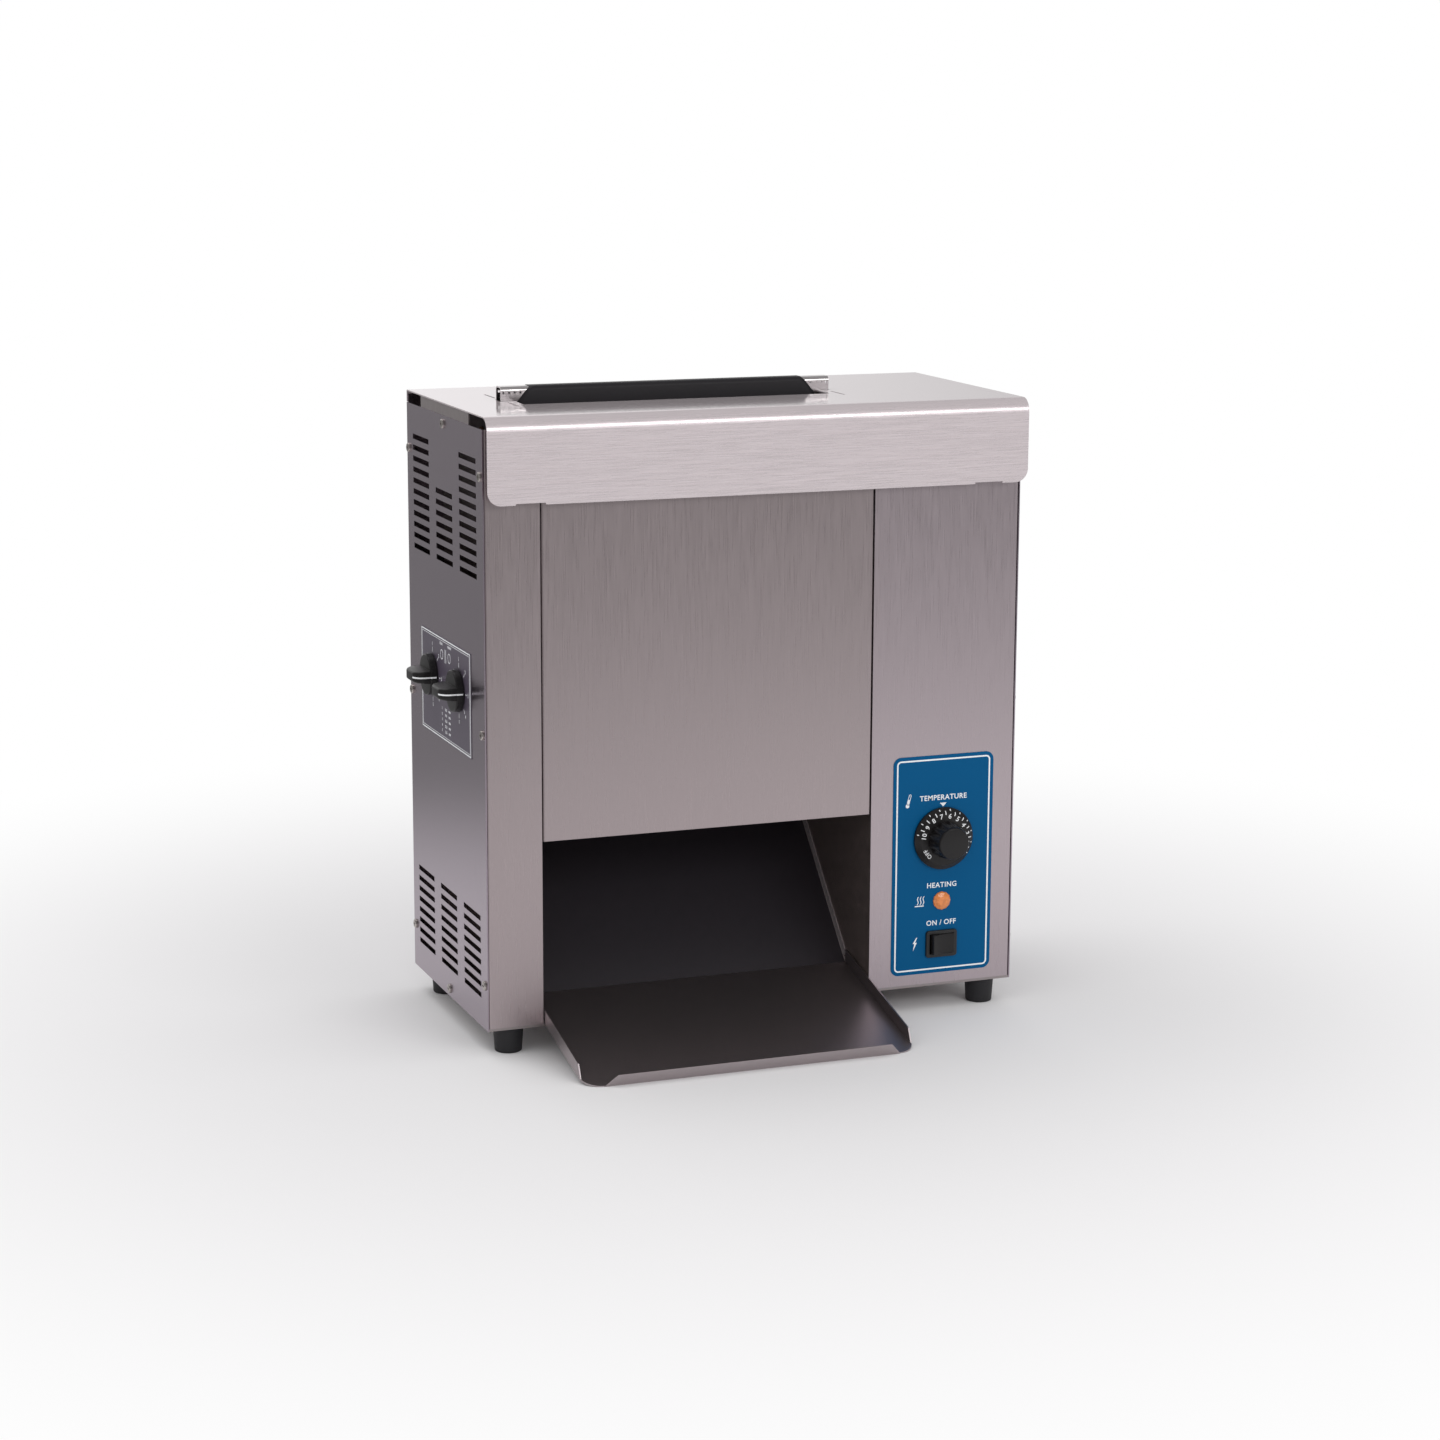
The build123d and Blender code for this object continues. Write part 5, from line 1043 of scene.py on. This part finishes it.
class TOASTER_OT_dial(bpy.types.Operator):
    """Models the thermostat dial with its flutes, numbers and marks"""
    bl_idname = "toaster.dial"
    bl_label = "Thermostat dial"

    def execute(self, context):
        dial = context.scene.toaster_dial
        node = "thermostat_dial"
        radius, reach, spot = front_seat(node)
        inner = radius - dial.wall
        shape = bmesh.new()
        # The skirt starts under the grip, and its back is hollow
        profile = [(0, dial.skirt_depth), (dial.face_radius, dial.skirt_depth)]
        profile += [(radius, dial.rim), (radius, 0), (inner, 0), (inner, dial.wall), (0, dial.wall)]
        put(shape, spun(profile), spot)
        put(shape, self.grip(dial, reach), spot)
        finish_piece("dial_knob", shape, black_phenolic(), node, (node,))
        printed = moved(self.numbers(context, dial, radius), spot)
        finish_piece("dial_print", printed, white_ink(context), node)
        return {"FINISHED"}

    def grip(self, dial, reach):
        """Fluted grip that narrows to a round cap."""
        segments_per_flute = 12
        shape = bmesh.new()
        bmesh.ops.create_circle(shape, cap_ends=True, segments=dial.flutes * segments_per_flute,
                                radius=dial.grip_base_radius)
        levels = [(dial.skirt_depth - dial.grip_sink, dial.grip_base_radius, dial.flute_depth)]
        tall = reach - dial.skirt_depth
        narrowing = dial.grip_base_radius - dial.grip_top_radius
        # Shares of the grip's height
        for share in (0.25, 0.5, 0.75, 0.9):
            radius = dial.grip_base_radius - narrowing * share
            levels.append((dial.skirt_depth + tall * share, radius, dial.flute_depth * (1 - share)))
        levels.append((reach, dial.grip_top_radius - dial.cap_edge, 0))
        face = shape.faces[:][0]
        for index, (height, radius, depth) in enumerate(levels):
            if index:
                face = extended(shape, face)
            for vert in face.verts:
                angle = math.atan2(vert.co.y, vert.co.x)
                hollow = depth * (0.5 + 0.5 * math.cos(dial.flutes * angle)) ** 2
                vert.co = Vector((math.cos(angle), math.sin(angle), 0)) * (radius - hollow)
                vert.co.z = height
        top = [edge for edge in shape.edges if all(vert.co.z > reach - TOUCHING for vert in edge.verts)]
        soften(shape, top, dial.cap_round, segments=3)
        return closed(shape)

    def numbers(self, context, dial, radius):
        """Numbers, half marks and the off mark, laid on the face and on the sloping rim."""
        depth = context.scene.toaster_print.ink_thickness
        shape = bmesh.new()
        for value in range(1, 11):
            angle = (dial.pointer_reading - value) * dial.number_step
            self.stand(shape, lettering(str(value), dial.number_height, depth), dial.number_radius, angle)
        for half in range(2, 21):
            angle = (dial.pointer_reading - half / 2) * dial.number_step
            spans = [(dial.dot_inner_radius, dial.dot_outer_radius)]
            if half % 2:
                # A half mark bends where the face meets the sloping rim
                spans = [(dial.tick_inner_radius, dial.face_radius),
                         (dial.face_radius, dial.tick_outer_radius)]
            for inner, outer in spans:
                mark = bar(dial.tick_width, outer - inner, depth)
                self.stand(shape, mark, (inner + outer) / 2, angle)
        self.stand(shape, lettering("OFF", dial.off_height, depth), dial.number_radius, dial.off_angle)
        slope = (dial.skirt_depth - dial.rim) / (radius - dial.face_radius)
        # A quarter of the ink lies under the surface
        for vert in shape.verts:
            out = max(0.0, math.hypot(vert.co.x, vert.co.y) - dial.face_radius)
            vert.co.z += dial.skirt_depth - out * slope - depth / 4
        return shape

    def stand(self, target, mark, radius, angle):
        """Puts a mark at an angle clockwise from the top, its head outwards."""
        put(target, mark, Matrix.Translation(clockwise(radius, angle)) @ Matrix.Rotation(-angle, 4, "Z"))


def black_phenolic():
    """Moulded phenolic for knobs: black, hard, with a soft sheen and a fine grain."""
    phenolic = bpy.data.materials.get("phenolic_moulded_black")
    if phenolic is None:
        phenolic = grained("phenolic_moulded_black", linear("#1A1819"), grain=0.6 * MM, relief=0.012 * MM,
                           variation=0.12, rough=(0.30, 0.40), Specular_IOR_Level=0.36)
    return phenolic


class TOASTER_OT_knobs(bpy.types.Operator):
    """Models the two pressure knobs with their white pointer lines"""
    bl_idname = "toaster.knobs"
    bl_label = "Pressure knobs"

    def execute(self, context):
        knob = context.scene.toaster_knob
        for lane in LANES:
            node = f"{lane}_pressure_knob"
            low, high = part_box(node)
            centre = middle(node)
            spot = Matrix.Translation((high.x, centre.y, centre.z)) @ LEFT_FACE
            radius = (high.z - low.z) / 2
            reach = high.x - low.x
            shape = bmesh.new()
            put(shape, self.skirt(knob, radius), spot)
            put(shape, self.grip(knob, reach), spot)
            finish_piece(f"{lane}_knob", shape, black_phenolic(), f"{lane}_cam", (node,))
            line = moved(self.line(knob, radius, reach), spot)
            finish_piece(f"{lane}_knob_line", line, white_ink(context), f"{lane}_cam")
        return {"FINISHED"}

    def skirt(self, knob, radius):
        """Round skirt with a rounded edge, hollow behind."""
        edge = knob.skirt_round
        inner = radius - knob.wall
        profile = [(0, knob.skirt_height)]
        profile += rounding(edge, radius - edge, knob.skirt_height - edge, 90, 0)
        profile += [(radius, 0), (inner, 0), (inner, knob.wall), (0, knob.wall)]
        return spun(profile)

    def grip(self, knob, reach):
        """Bar grip, thinner towards its outer end, with rounded shoulders."""
        shape = bmesh.new()
        bmesh.ops.create_cube(shape, size=1)
        foot = knob.skirt_height - knob.grip_sink
        size = (knob.grip_length, knob.grip_thickness, reach - foot)
        bmesh.ops.scale(shape, vec=size, verts=list(shape.verts))
        bmesh.ops.translate(shape, vec=(0, 0, (reach + foot) / 2), verts=list(shape.verts))
        outer = [vert for vert in shape.verts if vert.co.z > reach / 2]
        bmesh.ops.scale(shape, vec=(1, knob.grip_end_share, 1), verts=outer)
        shoulders = [edge for edge in shape.edges if all(vert in outer for vert in edge.verts)
                     and abs(edge.verts[0].co.x - edge.verts[1].co.x) < TOUCHING]
        soften(shape, shoulders, knob.grip_shoulder, segments=8)
        sharp = [edge for edge in shape.edges if edge.calc_face_angle(0) > SHARP
                 and edge.verts[0].co.z + edge.verts[1].co.z > 2 * foot + TOUCHING]
        soften(shape, sharp, knob.grip_round, segments=4)
        return closed(shape)

    def line(self, knob, radius, reach):
        """White line down the pointer edge of the grip and over the skirt's edge."""
        half = knob.grip_length / 2
        shoulder = knob.grip_shoulder
        edge = knob.skirt_round
        path = rounding(shoulder, half - shoulder, reach - shoulder, 80, 0)
        path += [(half, knob.skirt_height)]
        path += rounding(edge, radius - edge, knob.skirt_height - edge, 60, 0, steps=3)
        path += [(radius, knob.line_end)]
        lift = knob.line_lift
        outer = []
        inner = []
        for index, point in enumerate(path):
            ahead = Vector(path[min(index + 1, len(path) - 1)])
            behind = Vector(path[max(index - 1, 0)])
            along = (ahead - behind).normalized()
            out = Vector((-along.y, along.x))
            outer.append(Vector(point) + out * lift)
            inner.append(Vector(point) - out * (knob.line_depth - lift))
        points = [tuple(point) for point in outer + inner[::-1]]
        return standing(flat_shape(points, knob.line_width), knob.line_width)


class TOASTER_OT_lamp(bpy.types.Operator):
    """Models the faceted amber lens of the heating lamp"""
    bl_idname = "toaster.lamp"
    bl_label = "Lamp lens"

    def execute(self, context):
        lens = context.scene.toaster_lens
        node = "indicator_lens"
        radius, reach, spot = front_seat(node)
        shape = bmesh.new()
        bmesh.ops.create_circle(shape, cap_ends=True, segments=lens.facets, radius=radius)
        face = shape.faces[:][0]
        half_step = FULL_TURN / lens.facets / 2
        # Shares of the reach and of the radius: a straight foot, two rings of facets and a hollow crown
        levels = ((0.3, 1.0, 0), (0.55, 0.88, half_step), (0.98, 0.5, half_step), (0.8, 0.16, 0))
        for height, size, twist in levels:
            face = extended(shape, face)
            for vert in face.verts:
                angle = math.atan2(vert.co.y, vert.co.x) + twist
                vert.co = Vector((math.cos(angle), math.sin(angle), 0)) * radius * size
                vert.co.z = reach * height
        bmesh.ops.poke(shape, faces=[face])
        bmesh.ops.triangulate(shape, faces=list(shape.faces))
        shape = moved(closed(shape), spot)
        # Moulded polycarbonate: amber, mottled as light breaks in it, with crisp facets
        amber = grained("polycarbonate_amber", lens.colour, grain=3 * MM, relief=0.01 * MM, variation=0.4,
                        rough=(0.10, 0.16), IOR=1.58)
        finish_piece("lamp_lens", shape, amber, "case", (node,), smooth_angle=5)
        return {"FINISHED"}


class TOASTER_OT_rocker(bpy.types.Operator):
    """Models the rocker of the power switch with softened edges"""
    bl_idname = "toaster.rocker"
    bl_label = "Switch rocker"

    def execute(self, context):
        rocker = context.scene.toaster_rocker
        node = "switch_rocker"
        joint = next(row for row in frame["joints"] if row["child"] == "power_rocker")
        pivot = Vector(joint["pos_m"])
        half = rocker.half_length
        hollow = rocker.crest - rocker.valley
        steps = 10
        points = [(-rocker.root, -rocker.back), (rocker.root, -rocker.back)]
        points += [(rocker.waist, rocker.waist_rise), (half, rocker.crest)]
        for index in range(1, steps):
            across = 1 - 2 * index / steps
            points.append((half * across, rocker.valley + hollow * across ** 2))
        points += [(-half, rocker.crest), (-rocker.waist, rocker.waist_rise)]
        shape = standing(flat_shape(points, rocker.width), rocker.width)
        sharp = [edge for edge in shape.edges if edge.calc_face_angle(0) > SHARP]
        soften(shape, sharp, rocker.edge_round, segments=3)
        spot = Matrix.Translation((pivot.x, pivot.y, middle(node).z))
        lean = Matrix.Rotation(rocker.tilt, 4, "Z")
        shape = moved(closed(shape), spot @ lean @ FRONT_FACE)
        finish_piece("rocker_cap", shape, black_phenolic(), "power_rocker", (node,))
        return {"FINISHED"}


class TOASTER_OT_release_cloth(bpy.types.Operator):
    """Drapes the release cloth over the divider and down both faces of the platen"""
    bl_idname = "toaster.release_cloth"
    bl_label = "Release cloth"

    def execute(self, context):
        cloth = context.scene.toaster_cloth
        low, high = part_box("release_sheet")
        width = high.x - low.x
        centre = middle("release_sheet")
        neck = half_depth("platen_cap") + cloth.thickness
        path = self.path(cloth, low.z, neck)
        shape = moved(self.drape(cloth, path, width), Matrix.Translation((centre.x, centre.y, 0)))
        material = self.cloth_material(cloth)
        piece = finish_piece("release_cloth", shape, material, "case", ("release_sheet",),
                             smooth_angle=60)
        wall = piece.modifiers.new("thickness", "SOLIDIFY")
        wall.thickness = cloth.thickness
        wall.offset = 0
        return {"FINISHED"}

    def path(self, cloth, bottom, neck):
        """(Y, Z) points up one face of the platen, over the divider and down the other face."""
        face = half_depth("platen") + cloth.thickness
        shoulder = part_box("platen")[1].z
        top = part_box("platen_cap")[1].z + cloth.thickness
        radius = cloth.fold_radius + cloth.thickness
        steps = 24
        path = [(-face, bottom + (shoulder - bottom) * index / steps) for index in range(steps + 1)]
        path.append((-neck, shoulder + cloth.tuck))
        path.append((-neck, (shoulder + cloth.tuck + top - radius) / 2))
        path += [(-neck + radius - x, top - radius + y) for x, y in rounding(radius, 0, 0, 0, 90)]
        return path + [(-y, z) for y, z in path[::-1]]

    def drape(self, cloth, path, width):
        """The cloth along its path, rippled on the platen, its corners cut beside the fold."""
        bottom = path[0][1]
        top = max(z for y, z in path)
        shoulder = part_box("platen")[1].z
        columns = 48
        ripples = 2.5
        shape = bmesh.new()
        bmesh.ops.create_grid(shape, x_segments=columns, y_segments=len(path) - 1, size=0.5)
        rows = sorted({round(vert.co.y, 6) for vert in shape.verts})
        for vert in shape.verts:
            row = min(range(len(rows)), key=lambda index: abs(rows[index] - vert.co.y))
            y, z = path[row]
            cut = max(0.0, cloth.corner - (top - z))
            hang = max(0.0, min(1.0, (shoulder - z) / (shoulder - bottom)))
            ripple = 0.5 + 0.5 * math.sin(FULL_TURN * (ripples * vert.co.x + hang))
            stand_off = cloth.bulge * math.sin(math.pi * hang) * ripple
            side = -1 if y < 0 else 1
            vert.co = Vector((vert.co.x * (width - 2 * cut), y + side * stand_off, z))
        bmesh.ops.remove_doubles(shape, verts=list(shape.verts), dist=TOUCHING)
        return closed(shape)

    def cloth_material(self, cloth):
        """Release-coated glass cloth: black and slightly glossy, with a plain weave under the coating."""
        material, tree = blank_material("glass_cloth_coated_black")
        where = add_node(tree, "ShaderNodeTexCoord")
        scale = [1 / cloth.weave] * 3
        space = add_node(tree, "ShaderNodeMapping", {"Vector": where.outputs["Object"], "Scale": scale})
        waves = {"Vector": space.outputs[0], "Scale": 0.5, "Distortion": 0.4}
        warp = add_node(tree, "ShaderNodeTexWave", waves, bands_direction="X")
        weft = add_node(tree, "ShaderNodeTexWave", waves, bands_direction="Z")
        threads = {0: warp.outputs[1], 1: weft.outputs[1]}
        height = add_node(tree, "ShaderNodeMath", threads, operation="MULTIPLY").outputs[0]
        hollow = opaque(cloth.colour, 0.75)
        crest = opaque(cloth.colour, 1.35)
        spread = add_node(tree, "ShaderNodeMix", {0: height, 6: hollow, 7: crest}, data_type="RGBA")
        relief = {"Height": height, "Strength": 1.0, "Distance": cloth.weave_relief}
        bump = add_node(tree, "ShaderNodeBump", relief)
        span = from_to(height, 0, 1, 0.5, 0.34)
        rough = add_node(tree, "ShaderNodeMapRange", span, interpolation_type="SMOOTHSTEP")
        inputs = {"Base Color": spread.outputs[2], "Roughness": rough.outputs[0],
                  "Normal": bump.outputs[0], "Specular IOR Level": 0.3}
        surface = add_node(tree, "ShaderNodeBsdfPrincipled", inputs)
        add_node(tree, "ShaderNodeOutputMaterial", {"Surface": surface.outputs[0]})
        return material


class TOASTER_OT_tray(bpy.types.Operator):
    """Gives the tray its polished sheet finish"""
    bl_idname = "toaster.tray"
    bl_label = "Bun tray"

    def execute(self, context):
        steel = context.scene.toaster_steel
        # Polished stainless, fine lines across: its floor mirrors the dark mouth of the lane
        sheet = brushed("stainless_polished_tray", steel.tray_colour, 0, (0.38, 0.41), steel, 0.3)
        dress(sheet, "bun_tray")
        return {"FINISHED"}


class TOASTER_OT_feet(bpy.types.Operator):
    """Models the four tapered rubber feet"""
    bl_idname = "toaster.feet"
    bl_label = "Rubber feet"

    def execute(self, context):
        foot = context.scene.toaster_feet
        low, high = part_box("rubber_feet")
        edge = foot.edge_round
        tall = high.z - low.z
        under = tall - foot.collar
        waist = foot.radius - foot.collar_taper
        profile = [(foot.screw_radius, tall), (foot.radius - foot.collar_edge, tall)]
        profile += [(foot.radius, tall - foot.collar_edge), (waist, under)]
        profile += [(waist - foot.collar_step, under - foot.collar_step)]
        profile += rounding(edge, foot.tip_radius - edge, edge, 0, -90)
        profile += [(foot.bore, 0), (foot.bore, foot.bore_depth)]
        profile += [(foot.screw_radius, foot.bore_depth), (foot.screw_radius, tall)]
        shape = bmesh.new()
        for x in (low.x + foot.radius, high.x - foot.radius):
            for y in (low.y + foot.radius, high.y - foot.radius):
                put(shape, spun(profile, segments=48), Matrix.Translation((x, y, low.z)))
        # Moulded rubber: deep black, matt, faintly dusty
        rubber = grained("rubber_moulded_black", linear("#17161A"), grain=0.9 * MM, relief=0.03 * MM,
                         variation=0.15, rough=(0.52, 0.66))
        finish_piece("foot_pads", shape, rubber, "case", ("rubber_feet",))
        return {"FINISHED"}


class TOASTER_PT_sidebar(bpy.types.Panel):
    """Lists what the toaster is made of"""
    bl_idname = "TOASTER_PT_sidebar"
    bl_label = "Toaster"
    bl_space_type = "VIEW_3D"
    bl_region_type = "UI"
    bl_category = "Toaster"

    def draw(self, context):
        for operator in OPERATORS:
            self.layout.operator(operator.bl_idname)
        for name, group in SETTINGS.items():
            box = self.layout.box()
            box.label(text=group.__name__)
            for key in group.__annotations__:
                box.prop(getattr(context.scene, name), key)


SETTINGS = {
    "toaster_stage": StageSettings,
    "toaster_steel": SteelSettings,
    "toaster_print": PrintSettings,
    "toaster_side_label": SideLabelSettings,
    "toaster_dial": DialSettings,
    "toaster_knob": KnobSettings,
    "toaster_lens": LensSettings,
    "toaster_rocker": RockerSettings,
    "toaster_cloth": ClothSettings,
    "toaster_feet": FeetSettings,
}

OPERATORS = (
    TOASTER_OT_stage,
    TOASTER_OT_case,
    TOASTER_OT_lane,
    TOASTER_OT_electrics,
    TOASTER_OT_control_label,
    TOASTER_OT_adjustment_label,
    TOASTER_OT_dial,
    TOASTER_OT_knobs,
    TOASTER_OT_lamp,
    TOASTER_OT_rocker,
    TOASTER_OT_release_cloth,
    TOASTER_OT_tray,
    TOASTER_OT_feet,
)


def register():
    """Registers the settings, the operators and the panel."""
    for name, group in SETTINGS.items():
        bpy.utils.register_class(group)
        setattr(bpy.types.Scene, name, PointerProperty(type=group))
    for operator in OPERATORS:
        bpy.utils.register_class(operator)
    bpy.utils.register_class(TOASTER_PT_sidebar)


def unregister():
    """Takes the panel, the operators and the settings out again."""
    bpy.utils.unregister_class(TOASTER_PT_sidebar)
    for operator in reversed(OPERATORS):
        bpy.utils.unregister_class(operator)
    for name, group in SETTINGS.items():
        delattr(bpy.types.Scene, name)
        bpy.utils.unregister_class(group)


def main():
    """Makes everything in order."""
    register()
    for operator in OPERATORS:
        family, name = operator.bl_idname.split(".")
        getattr(getattr(bpy.ops, family), name)()


if __name__ == "__main__":
    main()
